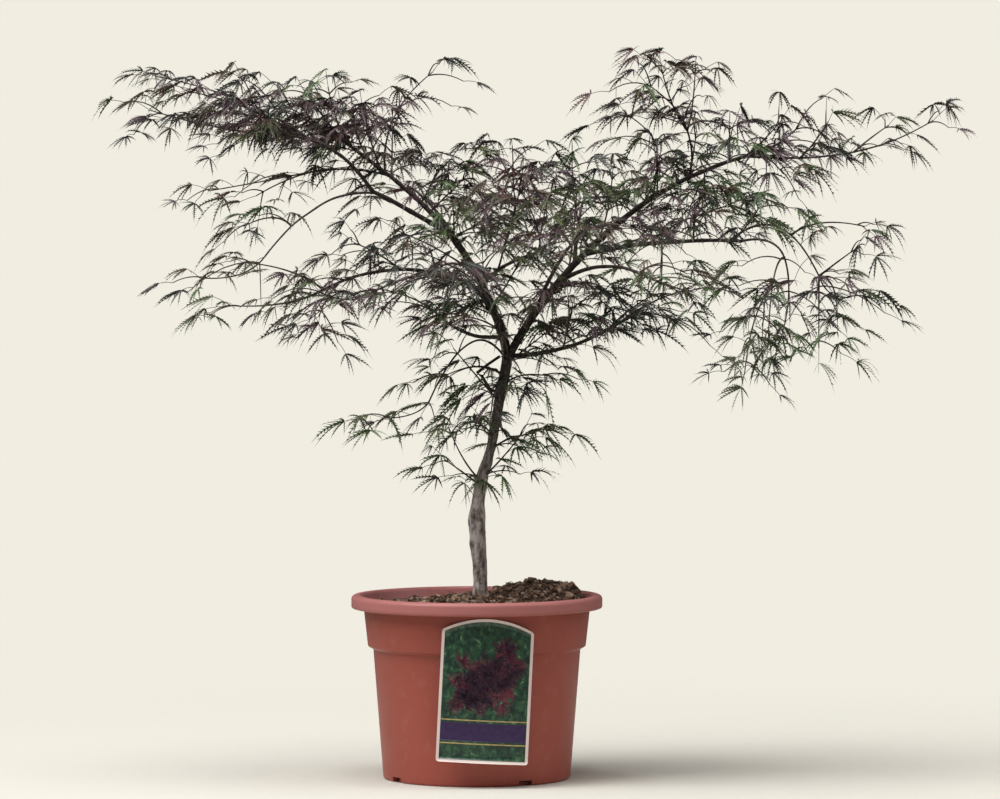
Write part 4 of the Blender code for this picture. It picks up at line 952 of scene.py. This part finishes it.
def pot_look():
    """Terracotta-coloured plastic: satin, faintly clouded and scuffed, with a fine moulded grain."""
    look = Look("pot_plastic", 0.42, 0.35)
    base = look.ramp(look.noise(9.0, 5.0, (1.0, 1.0, 0.6)), POT_COLOURS)
    # The lip is painted paler and pinker from its foot up: partly fading, and partly a painted sheen that
    # stands in for the light its rounded top catches.
    fade = look.climb(*(POT_HEIGHT - LIP_DEPTH + rise for rise in LIP_FADE_AND_SHEEN_RISE))
    lip_faded_and_sheened = look.mix(fade, base, LIP_FADE_AND_SHEEN_COLOUR)
    look.colour(look.mix(look.ramp(look.noise(60.0, 6.0), DUST), lip_faded_and_sheened, DUST_COLOUR))
    look.rough(look.noise(22.0, 4.0), 0.34, 0.52)
    look.bump((look.noise(900.0, 2.0), look.noise(30.0, 2.0, (1.0, 1.0, 4.0))), 0.00006)
    return look.material


# ---------------------------------------------------------------- limbs

Limb = namedtuple("Limb", "points radii")


def bezier(start, control, tip, spans):
    """Points of a quadratic curve."""
    points = []
    for index in range(spans + 1):
        share = index / spans
        middle = control * 2 * share * (1 - share)
        points.append(start * (1 - share) ** 2 + middle + tip * share**2)
    return points


def tapering(thick, thin, count):
    """Radii that change evenly from one end to the other."""
    return [thick + (thin - thick) * index / (count - 1) for index in range(count)]


def length_of(points):
    """The length of a route."""
    return sum((there - here).length for here, there in zip(points, points[1:]))


def lengths_gone(points):
    """The length of a route from its start to each of its points."""
    gone = [0.0]
    for here, there in zip(points, points[1:]):
        gone.append(gone[-1] + (there - here).length)
    return gone


def point_along(points, share):
    """The place and the direction at a share of a route's length."""
    left = share * length_of(points)
    for here, there in zip(points, points[1:]):
        length = (there - here).length
        if left <= length:
            break
        left -= length
    return here.lerp(there, min(left / length, 1.0)), (there - here).normalized()


def frame_along(way, roll):
    """Axes with X along the way and Z as near to up as the roll about X leaves it."""
    side = UP.cross(way)
    if side.length < STEEP:
        side = Vector((0.0, 1.0, 0.0))
    side.normalize()
    lift = way.cross(side)
    turned_axes = Matrix((way, side, lift)).transposed().to_4x4()
    return turned_axes @ Matrix.Rotation(roll, 4, "X")


def leaving(way, roll, opening):
    """A direction that opens off a way by an angle in degrees, turned about the way by a roll."""
    opening = math.radians(opening)
    return frame_along(way, roll) @ Vector((math.cos(opening), 0.0, math.sin(opening)))


def wandering(points, seed, amount):
    """The route, moved sideways a little by a smooth noise that leaves both its ends in place."""
    out = []
    for index, (point, gone) in enumerate(zip(points, lengths_gone(points))):
        hold = math.sin(math.pi * index / (len(points) - 1))
        spot = (gone / LIMB_WANDER_LENGTH, seed * LIMB_WANDER_STEP, 0.5)
        out.append(point + noise.noise_vector(spot) * amount * hold)
    return out


def smoothed(values, passes=3):
    """Values with each drawn towards its neighbours, the ends held."""
    values = np.array(values, np.float64)
    for _ in range(passes):
        values[1:-1] = (values[:-2] + 2 * values[1:-1] + values[2:]) / 4
    return values


def trunk_limb():
    """The trunk's route and radii, from its stations to many fine rings."""
    heights = np.linspace(TRUNK_STATIONS[0][0], TRUNK_STATIONS[-1][0], TRUNK_RINGS)
    stations = np.array(TRUNK_STATIONS)
    sideways = smoothed(np.interp(heights, stations[:, 0], stations[:, 1]), TRUNK_SMOOTHING)
    radii = smoothed(np.interp(heights, stations[:, 0], stations[:, 2]), TRUNK_SMOOTHING)
    return Limb([Vector((x, 0.0, z)) for x, z in zip(sideways, heights)], list(radii))


def grow_limbs():
    """Every limb by the solids' rule: a bough bows from a place along its parent to its own tip."""
    noise.seed_set(LIMB_WANDER_SEED)
    limbs = {"trunk": trunk_limb()}
    for index, bough in enumerate(BOUGHS):
        start, _ = point_along(limbs[bough.parent].points, bough.share)
        tip = Vector(bough.tip)
        control = (start + tip) / 2 + 2 * Vector(bough.bow)
        route = bezier(start, control, tip, LIMB_SPANS)
        points = wandering(route, index, LIMB_WANDER)
        slim = SLIMNESS if bough.thick < THICK_BOUGH else 1.0
        radii = tapering(bough.thick * slim, bough.thin * slim, len(points))
        limbs[bough.name] = Limb(points, radii)
    return limbs


def spray_masses(limbs):
    """The sprays as masses, each with its stem's end worked out from its place on its limb."""
    masses = []
    for spray in SPRAYS:
        place, _ = point_along(limbs[spray.limb].points, spray.share)
        tip = tuple(place + Vector(spray.tip))
        masses.append(spray._replace(tip=tip))
    return tuple(masses)


def stem_route(mass, limbs):
    """The stem of a mass. It leaves a bough's tip in line with the bough, and a limb's side outwards and
    up."""
    points = limbs[mass.limb].points
    place, way = point_along(points, mass.share)
    tip = Vector(mass.tip)
    if mass.share < 1.0:
        level = Vector((tip.x - place.x, tip.y - place.y, 0.0)).normalized()
        rise = SIDE_RISE if tip.z > place.z - SIDE_DROP else 0.0
        way = (level + UP * rise).normalized()
    control = place + way * STEM_RUN_OUT * (tip - place).length
    return bezier(place, control, tip, STEM_SPANS)


def with_nodes(points, radii, flare):
    """Radii with a collar at the foot and a slight swelling at each node of the twig."""
    out = []
    for gone, radius in zip(lengths_gone(points), radii):
        beat = math.cos(math.tau * gone / NODE_SPACING)
        collar = flare * math.exp(-gone / COLLAR_LENGTH)
        out.append(radius * (1 + collar + NODE_SWELLING * max(beat, 0.0) ** NODE_SHARPNESS))
    return out


def trunk_relief(limb):
    """How far the bark stands off at each ring and side: flutes, root lobes, scars and fine wrinkles."""
    relief = np.zeros((len(limb.points), TRUNK_SIDES))
    foot = limb.points[0].z
    for row, point in enumerate(limb.points):
        rise = point.z - foot
        for column in range(TRUNK_SIDES):
            turn = column * math.tau / TRUNK_SIDES
            x, y = math.cos(turn), math.sin(turn)
            height = 0.0
            for fineness, length, shift, tall in BARK_RELIEF:
                height += tall * noise.noise(Vector((x * fineness, y * fineness, rise / length + shift)))
            roots = math.cos(ROOT_COUNT * turn + ROOT_TURN) * math.exp(-rise / ROOT_RISE)
            height += roots * ROOT_HEIGHT
            for scar_rise, scar_turn, scar_height, scar_width in SCARS:
                apart = (turn - scar_turn + math.pi) % math.tau - math.pi
                across = apart * limb.radii[row]
                distance = math.hypot(across, point.z - scar_rise)
                height += scar_height * math.exp(-((distance / scar_width) ** 2))
            relief[row, column] = height
    return relief


def build_limbs(limbs, stems, masses):
    """The barked trunk, and one piece with every bough run on into the stem of its mass."""
    trunk = limbs["trunk"]
    heap = Heap()
    heap.add(*tube(trunk.points, trunk.radii, TRUNK_SIDES, trunk_relief(trunk)))
    heap.piece("trunk_bark", trunk_look(), "trunk", ("trunk",))
    heap = Heap()
    for bough in BOUGHS:
        points, radii = limbs[bough.name]
        mass = next((mass for mass in MASSES if mass.limb == bough.name), None)
        points, radii = list(points), list(radii)
        if mass:
            stem = stems[mass.name]
            points += stem[1:]
            radii += tapering(radii[-1], STEM_THIN, len(stem))[1:]
        sides = BOUGH_SIDES if bough.thick > THICK_BOUGH else BOUGH_SIDES - 2
        heap.add(*tube(points, with_nodes(points, radii, COLLAR_FLARE), sides))
    for mass in masses:
        if mass.share < 1.0:
            stem = stems[mass.name]
            radii = tapering(SIDE_STEM_THICK, STEM_THIN, len(stem))
            heap.add(*tube(stem, with_nodes(stem, radii, COLLAR_FLARE), BOUGH_SIDES - 2))
    stub = [Vector(point) for point in STUB]
    heap.add(*tube(stub, tapering(STUB_THICK, STUB_THIN, len(stub)), BOUGH_SIDES))
    nodes = [bough.name + BOUGH_ENDING for bough in BOUGHS]
    heap.piece("bough_bark", finished("bough_bark", BOUGH_BARK, BOUGH_COLOURS), "boughs", nodes)


def trunk_look():
    """Smooth young bark: grey-brown with paler streaks and pores low down, darker towards the fork."""
    look = Look("trunk_bark", 0.8, 0.3)
    streaks = look.noise(170.0, 6.0, (1.0, 1.0, 0.42), 0.7)
    low, high = look.ramp(streaks, TRUNK_LOW), look.ramp(streaks, TRUNK_HIGH)
    bark = look.mix(look.climb(*TRUNK_DARKENING), low, high)
    pores = look.ramp(look.noise(420.0, 3.0, (1.0, 1.0, 1.6)), PORES)
    look.colour(look.mix(pores, bark, PORE_COLOUR))
    look.rough(look.noise(90.0), 0.62, 0.9)
    look.bump((look.noise(140.0, 6.0, (1.0, 1.0, 0.3)), look.noise(700.0, 3.0)), 0.0005)
    return look.material


# ---------------------------------------------------------------- leaves


def tooth_spots(teeth):
    """Where each tooth of a lobe starts and ends, as shares of the lobe's length."""
    spacing = (LAST_TOOTH - FIRST_TOOTH) / teeth
    starts = [FIRST_TOOTH + spacing * index for index in range(teeth)]
    return [(start, start + spacing * TOOTH_BASE) for start in starts]


def lobes_of_leaf():
    """The angle, reach and tooth spots of each lobe, round the leaf from one side to the other."""
    lobes = []
    for angle, reach, teeth in LOBES:
        for side in (-1, 1) if angle else (1,):
            lobes.append((math.radians(angle * side), reach, tooth_spots(teeth)))
    return lobes


def leaf_points(leaves, draws, droop=LEAF_DROOP, roll_spread=LOBE_ROLL, rib=RIB_HALF):
    """The points of every leaf at once. Each lobe is a narrow drooping blade with side teeth."""
    bases, forwards, ups, sizes = leaves
    sides = np.cross(ups, forwards)
    count = len(bases)
    parts = [bases[:, None, :]]
    droops = draws.uniform(*droop, count)
    for angle, reach, teeth in lobes_of_leaf():
        turn = angle + draws.normal(0.0, LOBE_SWING, count)
        way = forwards * np.cos(turn)[:, None] + sides * np.sin(turn)[:, None]
        lengths = (sizes * reach * (1 + draws.normal(0.0, LOBE_VARIATION, count)))[:, None]
        bend = (droops * draws.uniform(*LOBE_BENDS, count))[:, None]
        roll = draws.normal(0.0, roll_spread, count)[:, None]
        flat = unit(np.cross(ups, way))
        across = flat * np.cos(roll) + unit(np.cross(way, flat)) * np.sin(roll)
        fold = np.cross(across, way)

        def middle(share):
            """The lobe's middle line at a share of its length, and its direction there."""
            sag = bend * share**2
            place = bases + lengths * (way * (share - LOBE_SHORTENING * sag) + DOWN * LOBE_DROP * sag)
            slope = 2 * bend * share
            return place, unit(way * (1 - LOBE_SHORTENING * slope) + DOWN * LOBE_DROP * slope)

        for share in [LOBE_NECK] + [spot for tooth in teeth for spot in tooth]:
            half = rib * sizes[:, None] * (1 - LOBE_TAPER * share)
            place, _ = middle(share)
            parts.append(np.stack([place - across * half, place + across * half], axis=1))
        parts.append(middle(1.0)[0][:, None, :])
        for start, end in teeth:
            for sign in (-1, 1):
                share = (start + end) / 2 + sign * TOOTH_STAGGER
                place, along = middle(share)
                reach_out = lengths * TOOTH_LENGTH * (1 - TOOTH_TAPER * abs(share - LONGEST_TOOTH))
                reach_out = reach_out * draws.uniform(*TOOTH_REACHES, count)[:, None]
                out = along * math.cos(TOOTH_OPEN) + across * sign * math.sin(TOOTH_OPEN) - fold * TOOTH_FOLD
                parts.append((place + unit(out) * reach_out)[:, None, :])
    return np.concatenate(parts, axis=1)


def leaf_triangles():
    """The triangles of one leaf, in the order of its points."""
    triangles = []
    first = 1
    for _, _, teeth in lobes_of_leaf():
        rows = 2 * len(teeth) + 1
        tip = first + 2 * rows
        triangles.append((0, first, first + 1))
        for row in range(rows - 1):
            left, right = first + 2 * row, first + 2 * row + 1
            triangles += [(left, left + 2, right), (right, left + 2, right + 2)]
        triangles.append((tip - 2, tip, tip - 1))
        for index in range(len(teeth)):
            left, right = first + 2 + 4 * index, first + 3 + 4 * index
            point = tip + 1 + 2 * index
            triangles += [(left, point, left + 2), (right, right + 2, point + 1)]
        first = tip + 1 + 2 * len(teeth)
    return np.array(triangles)


Leaf = namedtuple("Leaf", "base forward up size colour petiole")


class Foliage:
    """Grows the shoots and leaves of one mass after another."""

    def __init__(self):
        self.shoots = Heap()
        self.leaves = []
        self.keeping = 1.0

    def grow(self, mass, stem, bough):
        """Pairs of side shoots along a mass's stem by the solids' rule, with leaves in pairs on all of it."""
        rng = random.Random(mass.name)
        mix = mass.mix
        self.keeping = math.sqrt(mass.fullness) * LEAF_KEEPING
        pairs = max(2, round(mass.pairs * math.sqrt(mass.fullness)) + EXTRA_PAIRS)
        self.leaf_run(stem, rng, mix, STEM_BARE)
        if bough:
            self.leaf_run(bough, rng, mix, BOUGH_BARE)
        for pair in range(pairs):
            share = FIRST_PAIR_SHARE + (LAST_PAIR_SHARE - FIRST_PAIR_SHARE) * pair / (pairs - 1)
            place, way = point_along(stem, share)
            reach = mass.spread * (1 - TWIG_TAPER * share) * SHOOT_LENGTH
            turn = math.radians(PAIR_TURN) * pair * abs(way.z)
            for side in (-1, 1):
                roll = turn + math.radians(90 * side + rng.uniform(-SHOOT_TURNS, SHOOT_TURNS))
                heading = leaving(way, roll, TWIG_FORWARD + rng.uniform(-SHOOT_OPENINGS, SHOOT_OPENINGS))
                heading.z *= SHOOT_LEVEL
                self.shoot(place, heading.normalized(), reach * rng.uniform(*SHOOT_REACHES), rng, mix)

    def shoot(self, place, heading, reach, rng, mix):
        """A side shoot that arches over, with its leaves."""
        tip = place + heading * reach - UP * reach * SHOOT_SAG
        control = place + heading * reach * 0.5 + UP * reach * SHOOT_SAG * rng.uniform(*SHOOT_ARCHES)
        route = bezier(place, control, tip, SHOOT_SPANS)
        self.shoots.add(*tube(route, tapering(SHOOT_THICK, SHOOT_THIN, len(route)), SHOOT_SIDES))
        self.leaf_run(route, rng, mix, SHOOT_BARE)

    def leaf_run(self, route, rng, mix, first):
        """Leaf pairs at even steps along a route from a share of it onwards, and a leaf on its end."""
        colour = rng.choices([name for name, _ in mix], [weight for _, weight in mix])[0]
        length = length_of(route)
        steps = max(1, round(length * (1 - first) / LEAF_SPACING))
        for step in range(steps):
            share = first + (1 - first) * (step + 0.5 + rng.uniform(-LEAF_STEPS, LEAF_STEPS)) / steps
            place, way = point_along(route, share)
            twist = 90 * (step % 2) * abs(way.z) + rng.uniform(-LEAF_TURNS, LEAF_TURNS)
            for side in (-1, 1):
                if rng.random() > self.keeping:
                    continue
                roll = math.radians(twist + 90 * side)
                heading = leaving(way, roll, PETIOLE_OPEN + rng.uniform(-PETIOLE_OPENINGS, PETIOLE_OPENINGS))
                self.leaf(place, heading, rng, colour)
        self.leaf(route[-1], (route[-1] - route[-2]).normalized(), rng, colour)

    def leaf(self, place, heading, rng, colour):
        """A petiole that rises and bends over, and the leaf that hangs from its end."""
        length = PETIOLE_LENGTH * rng.uniform(*PETIOLE_LENGTHS)
        rise = PETIOLE_RISE * rng.uniform(*PETIOLE_RISES)
        out = (heading + UP * rise).normalized()
        end = place + out * length
        shoulder = (heading + UP * rise * PETIOLE_SHOULDER_RISE).normalized()
        control = place + shoulder * length * PETIOLE_SHOULDER
        forward = Vector((out.x, out.y, 0.0))
        if forward.length < STEEP:
            forward = Vector((rng.uniform(-1, 1), rng.uniform(-1, 1), 0.0))
        pitch = rng.uniform(*LEAF_PITCH)
        forward = forward.normalized() * math.cos(pitch) - UP * math.sin(pitch)
        lift = frame_along(forward, rng.gauss(0.0, LEAF_ROLL)).col[2].to_3d()
        size = LEAF_SIZE * rng.uniform(1 - LEAF_VARIATION, 1 + LEAF_VARIATION)
        petiole = bezier(place, control, end, PETIOLE_SPANS)
        self.leaves.append(Leaf(end, forward, lift, size, colour, petiole))

    def build(self):
        """The joined shoots, petioles and leaves, each kind apart."""
        masses = [mass.name for mass in MASSES]
        shoot_look = finished("shoot_bark", SHOOT_BARK, shades(*SHOOT_COLOURS))
        self.shoots.piece("shoots", shoot_look, "boughs", masses)
        names = sorted(LEAF_COLOURS)
        draws = np.random.default_rng(LEAF_SEED)
        bases, forwards, ups, sizes = (
            np.array([getattr(leaf, field) for leaf in self.leaves], np.float64)
            for field in ("base", "forward", "up", "size")
        )
        points = leaf_points((bases, forwards, ups, sizes), draws)
        low = np.array(CAD_BOX[0]) - CROWN_MARGIN
        high = np.array(CAD_BOX[1]) + CROWN_MARGIN
        for _ in range(DRAWING_IN_TRIES):
            outside = ((points < low) | (points > high)).any(axis=(1, 2))
            near = bases[outside, None, :]
            points[outside] = near + (points[outside] - near) * DRAWING_IN
        outside = ((points < low) | (points > high)).any(axis=(1, 2))
        shape = leaf_triangles()
        per_leaf = points.shape[1]
        petioles = Heap()
        radii = tapering(PETIOLE_RADIUS, PETIOLE_RADIUS * PETIOLE_TAPER, PETIOLE_SPANS + 1)
        for index, leaf in enumerate(self.leaves):
            if not outside[index]:
                petioles.add(*tube(leaf.petiole, radii, PETIOLE_SIDES))
        petiole_look = finished("petiole_skin", PETIOLE_SKIN, shades(*PETIOLE_COLOURS))
        petioles.piece("petioles", petiole_look, "boughs", masses)
        colours = np.array([names.index(leaf.colour) for leaf in self.leaves])
        for number, name in enumerate(names):
            chosen = points[(colours == number) & ~outside]
            offsets = np.arange(len(chosen))[:, None, None] * per_leaf
            heap = Heap()
            heap.add(chosen, shape[None] + offsets)
            look = finished("leaf_" + name, LEAF_SKIN, shades(*LEAF_COLOURS[name]))
            heap.piece("leaves_" + name, look, "foliage", masses, smooth=False)


# ---------------------------------------------------------------- soil


def bump(distance, width):
    """A smooth hump of height one that fades out over about two widths."""
    return math.exp(-((distance / width) ** 2))


def soil_height(x, y):
    """The height of the compost over a point of the floor plan, with its clods."""
    foot = Vector((TRUNK_STATIONS[0][1], 0.0))
    from_foot = max((Vector((x, y)) - foot).length - SEAT_RADIUS, 0.0)
    from_mound = (Vector((x, y)) - MOUND_CENTRE).length
    heap = MOUND_HEIGHT * math.exp(-((from_mound / MOUND_WIDTH) ** 4))
    clods = noise.noise(Vector((x, y, 0.0)) / CLOD_SIZE)
    clods += FINE_CLODS * noise.noise(Vector((x, y, FINE_CLOD_SHIFT)) / FINE_CLOD_SIZE)
    ground = SOIL_LEVEL + heap
    return ground + (TRUNK_FOOT - ground) * bump(from_foot, SEAT_SLOPE_WIDTH) + CLOD_HEIGHT * clods


def build_soil():
    """A closed plug with a cloddy top, covered by bark chips and fibres in several browns."""
    circle = circle_points(SOIL_STEPS)
    edge = COLLAR_TOP_RADIUS - POT_WALL - SOIL_GAP
    rings = []
    for ring in range(1, SOIL_RINGS + 1):
        plan = circle * edge * ring / SOIL_RINGS
        rings.append([(x, y, soil_height(x, y)) for x, y in plan])
    for radius, height in (
        (edge, SOIL_LEVEL - SOIL_EDGE),
        (COLLAR_FOOT_RADIUS - POT_WALL - SOIL_GAP, BODY_TOP + STEP_RISE + POT_WALL),
        (BODY_TOP_RADIUS - POT_WALL - SOIL_GAP, BODY_TOP + STEP_RISE / 2),
        (BASE_RADIUS - POT_WALL - SOIL_GAP, POT_FLOOR + CLEARANCE),
    ):
        rings.append([(x * radius, y * radius, height) for x, y in circle])
    points = np.array(rings).reshape(-1, 3)
    middle = ((0.0, 0.0, soil_height(0.0, 0.0)), (0.0, 0.0, POT_FLOOR + CLEARANCE))
    cap = fan_triangles(len(points), 0, SOIL_STEPS, True)
    base = fan_triangles(len(points) + 1, (len(rings) - 1) * SOIL_STEPS, SOIL_STEPS, False)
    sides = grid_triangles(len(rings), SOIL_STEPS, True)[:, ::-1]
    heap = Heap()
    heap.add(np.concatenate([points, middle]), np.concatenate([sides, cap, base]))
    heap.piece("soil_bed", compost_look("compost", "dark"), "soil", ("soil",))
    scatter_chips(random.Random(CHIP_SEED), edge)


def scatter_chips(rng, edge):
    """Bark chips and fibres lie at all angles on the compost, each colour joined apart."""
    heaps = {name: Heap() for name in CHIP_COLOURS}
    names = [name for name, _ in CHIP_MIX]
    weights = [weight for _, weight in CHIP_MIX]
    for index in range(CHIP_COUNT + FIBRE_COUNT):
        reach = (edge - CHIP_MARGIN) * math.sqrt(rng.random())
        turn = rng.uniform(0.0, math.tau)
        x, y = reach * math.cos(turn), reach * math.sin(turn)
        place = Vector((x, y, soil_height(x, y)))
        heap = heaps[rng.choices(names, weights)[0]]
        if index < CHIP_COUNT:
            heap.add(*chip(place, rng))
        else:
            heap.add(*fibre(place, rng))
    for name, heap in heaps.items():
        heap.piece("chips_" + name, compost_look("chip_" + name, name), "soil", ("soil",), smooth=False)


def chip(place, rng):
    """An irregular flake of bark, thicker in its middle, tilted at random."""
    length = CHIP_LENGTH * math.exp(rng.gauss(0.0, CHIP_LENGTH_SPREAD))
    width = length * rng.uniform(*CHIP_HALF_WIDTH)
    half = Vector((length / 2, width, length * rng.uniform(*CHIP_HALF_DEPTH)))
    corners = []
    for side in (-1, 1):
        for number in range(CHIP_CORNERS):
            turn = number * math.tau / CHIP_CORNERS + rng.uniform(-CHIP_CORNER_TURN, CHIP_CORNER_TURN)
            near = rng.uniform(*CHIP_CORNER_REACH)
            across = Vector((math.cos(turn), math.sin(turn), side))
            corners.append(Vector((half.x * near * across.x, half.y * near * across.y, half.z * across.z)))
    corners += [Vector((0.0, 0.0, side * half.z * CHIP_BULGE)) for side in (-1, 1)]
    turned = Matrix.Rotation(rng.uniform(0, math.tau), 3, "Z")
    tilt = turned @ Matrix.Rotation(rng.gauss(0.0, CHIP_TILT), 3, "Y")
    tilt = tilt @ Matrix.Rotation(rng.gauss(0.0, CHIP_TILT), 3, "X")
    lifted = place + UP * half.z * rng.uniform(*CHIP_LIFT)
    points = [lifted + tilt @ corner for corner in corners]
    triangles = []
    low, high = 2 * CHIP_CORNERS, 2 * CHIP_CORNERS + 1
    for here in range(CHIP_CORNERS):
        there = (here + 1) % CHIP_CORNERS
        over_here, over_there = here + CHIP_CORNERS, there + CHIP_CORNERS
        triangles += [(here, there, over_there), (here, over_there, over_here)]
        triangles += [(low, there, here), (high, over_here, over_there)]
    return [tuple(point) for point in points], triangles


def fibre(place, rng):
    """A short bent strand of coir or root."""
    turn = rng.uniform(0, math.tau)
    way = Vector((math.cos(turn), math.sin(turn), rng.uniform(*FIBRE_RISE)))
    length = FIBRE_LENGTH * rng.uniform(*FIBRE_LENGTHS)
    middle = place + way * length * 0.5 + UP * rng.uniform(0.0, FIBRE_ARCH)
    end = place + way * length
    end.z = max(end.z, place.z)
    route = bezier(place, middle, end, FIBRE_SPANS)
    radius = FIBRE_RADIUS * rng.uniform(*FIBRE_RADII)
    return tube(route, tapering(radius, radius / 2, len(route)), FIBRE_SIDES)


def compost_look(name, colour):
    """Rough bark compost in one of its colours, mottled and damp in places."""
    return finished(name, COMPOST, shades(*CHIP_COLOURS[colour], 0.34))


# ---------------------------------------------------------------- label


def card_place(x, y, lift):
    """A point on the hung card: x across it from its middle, y up it from its foot, lift off its face."""
    lean = math.radians(LABEL_LEAN)
    across = x * math.cos(lean) + y * math.sin(lean)
    height = LABEL_FOOT + y * math.cos(lean) - x * math.sin(lean)
    back = across**2 / (2 * LABEL_BEND_RADIUS)
    turn = Matrix.Rotation(math.radians(LABEL_TURN), 3, "Z")
    return tuple(turn @ Vector((across, back - LABEL_REACH - lift, height)))


def card_top(x):
    """The height of the card's arched top over its foot."""
    return LABEL_SHOULDER + LABEL_ARCH * (1 - (2 * x / LABEL_WIDTH) ** 2)


def slab(name, look, edges, lifts, replaced=()):
    """A thin closed slab on the card. The edges give its sides, and its foot and head at each x."""
    left, right, foot, head = edges
    shares = [(1 - math.cos(math.pi * index / LABEL_COLUMNS)) / 2 for index in range(LABEL_COLUMNS + 1)]
    columns = [left + (right - left) * share for share in shares]
    points = []
    for lift in lifts:
        for row in range(LABEL_ROWS + 1):
            for x in columns:
                y = foot(x) + (head(x) - foot(x)) * row / LABEL_ROWS
                points.append(card_place(x, y, lift))
    width, count = len(columns), len(columns) * (LABEL_ROWS + 1)
    face = grid_triangles(LABEL_ROWS + 1, width, False)
    rim = list(range(width)) + [row * width + width - 1 for row in range(1, LABEL_ROWS + 1)]
    rim += [LABEL_ROWS * width + column for column in range(width - 2, -1, -1)]
    rim += [row * width for row in range(LABEL_ROWS - 1, 0, -1)]
    edge = []
    for here, there in zip(rim, rim[1:] + rim[:1]):
        edge += [(here, here + count, there), (there, here + count, there + count)]
    heap = Heap()
    heap.add(points, np.concatenate([face[:, ::-1], face + count, edge]))
    return heap.piece(name, look, "label", replaced)


def build_label():
    """A card printed with a dappled green ground, a spray of dark cut leaves, a plain band and fine rules."""
    half = LABEL_WIDTH / 2
    corner = LABEL_CORNER

    def foot(x):
        """The foot of the card, rounded at its corners."""
        past = max(abs(x) - (half - corner), 0.0)
        return corner - math.sqrt(max(corner**2 - past**2, 0.0))

    def head(x):
        """The top of the card, eased at its shoulders."""
        return card_top(x) - foot(x) * SHOULDER_EASE

    thick = LABEL_THICKNESS / 2
    card = finished("label_card", CARD, shades(*CARD_COLOURS))
    slab("label_card", card, (-half, half, foot, head), (-thick, thick), ("plant_label",))
    side = half - LABEL_BORDER
    ink = (thick, thick + INK)
    ground = (-side, side, lambda x: LABEL_BORDER, lambda x: card_top(x) - LABEL_BORDER)
    slab("label_ground", finished("label_ground", PRINTED_GROUND, GROUND_COLOURS), ground, ink)
    for name, colour, low, high in LABEL_BANDS:
        edges = (-side, side, lambda x, y=low: y, lambda x, y=high: y)
        slab("label_" + name, ink_look(name, colour), edges, (thick, thick + 2 * INK))
    draws = np.random.default_rng(LABEL_SEED)
    for number, (name, colour, count) in enumerate(LABEL_LEAVES):
        wide, low, high = LABEL_LEAF_SPREAD
        along = draws.uniform(0, 1, count)
        line = np.stack([wide * (2 * along - 1), low + (high - low) * along], axis=-1)
        spots = line + draws.normal(0, LABEL_LEAF_SCATTER, (count, 2))
        bases = np.concatenate([spots, np.zeros((count, 1))], axis=1)
        turns = draws.uniform(0, math.tau, count)
        forwards = np.stack([np.cos(turns), np.sin(turns), np.zeros(count)], axis=-1)
        ups = np.tile((0.0, 0.0, 1.0), (count, 1))
        sizes = draws.uniform(*LABEL_LEAF_SIZE, count)
        flat = leaf_points((bases, forwards, ups, sizes), draws, (0.0, 0.0), 0.0, LABEL_LEAF_RIB)
        lift = thick + (number + 3) * INK
        inside = (np.abs(flat[..., 0]) < side).all(axis=1)
        inside &= (flat[..., 1] < LABEL_SHOULDER - LABEL_BORDER).all(axis=1)
        inside &= (flat[..., 1] > LABEL_PICTURE_FOOT).all(axis=1)
        flat = flat[inside]
        points = [card_place(x, y, lift) for x, y, _ in flat.reshape(-1, 3)]
        offsets = np.arange(len(flat))[:, None, None] * flat.shape[1]
        heap = Heap()
        heap.add(points, leaf_triangles()[None] + offsets)
        heap.piece("label_leaves_" + name, ink_look("leaves_" + name, colour), "label", (), smooth=False)


def ink_look(name, colour):
    """Printed colour under a gloss, slightly uneven."""
    faint = tuple(value * FAINT_INK for value in colour)
    return finished("ink_" + name, PRINTED_INK, shades(faint, colour))


def main():
    """Build every piece, the studio and the camera."""
    build_studio()
    build_camera()
    build_pot()
    build_soil()
    build_label()
    limbs = grow_limbs()
    masses = MASSES + spray_masses(limbs)
    stems = {mass.name: stem_route(mass, limbs) for mass in masses}
    build_limbs(limbs, stems, masses)
    foliage = Foliage()
    for mass in masses:
        bough = limbs[mass.limb].points if mass.share == 1.0 else None
        foliage.grow(mass, stems[mass.name], bough)
    foliage.build()


main()
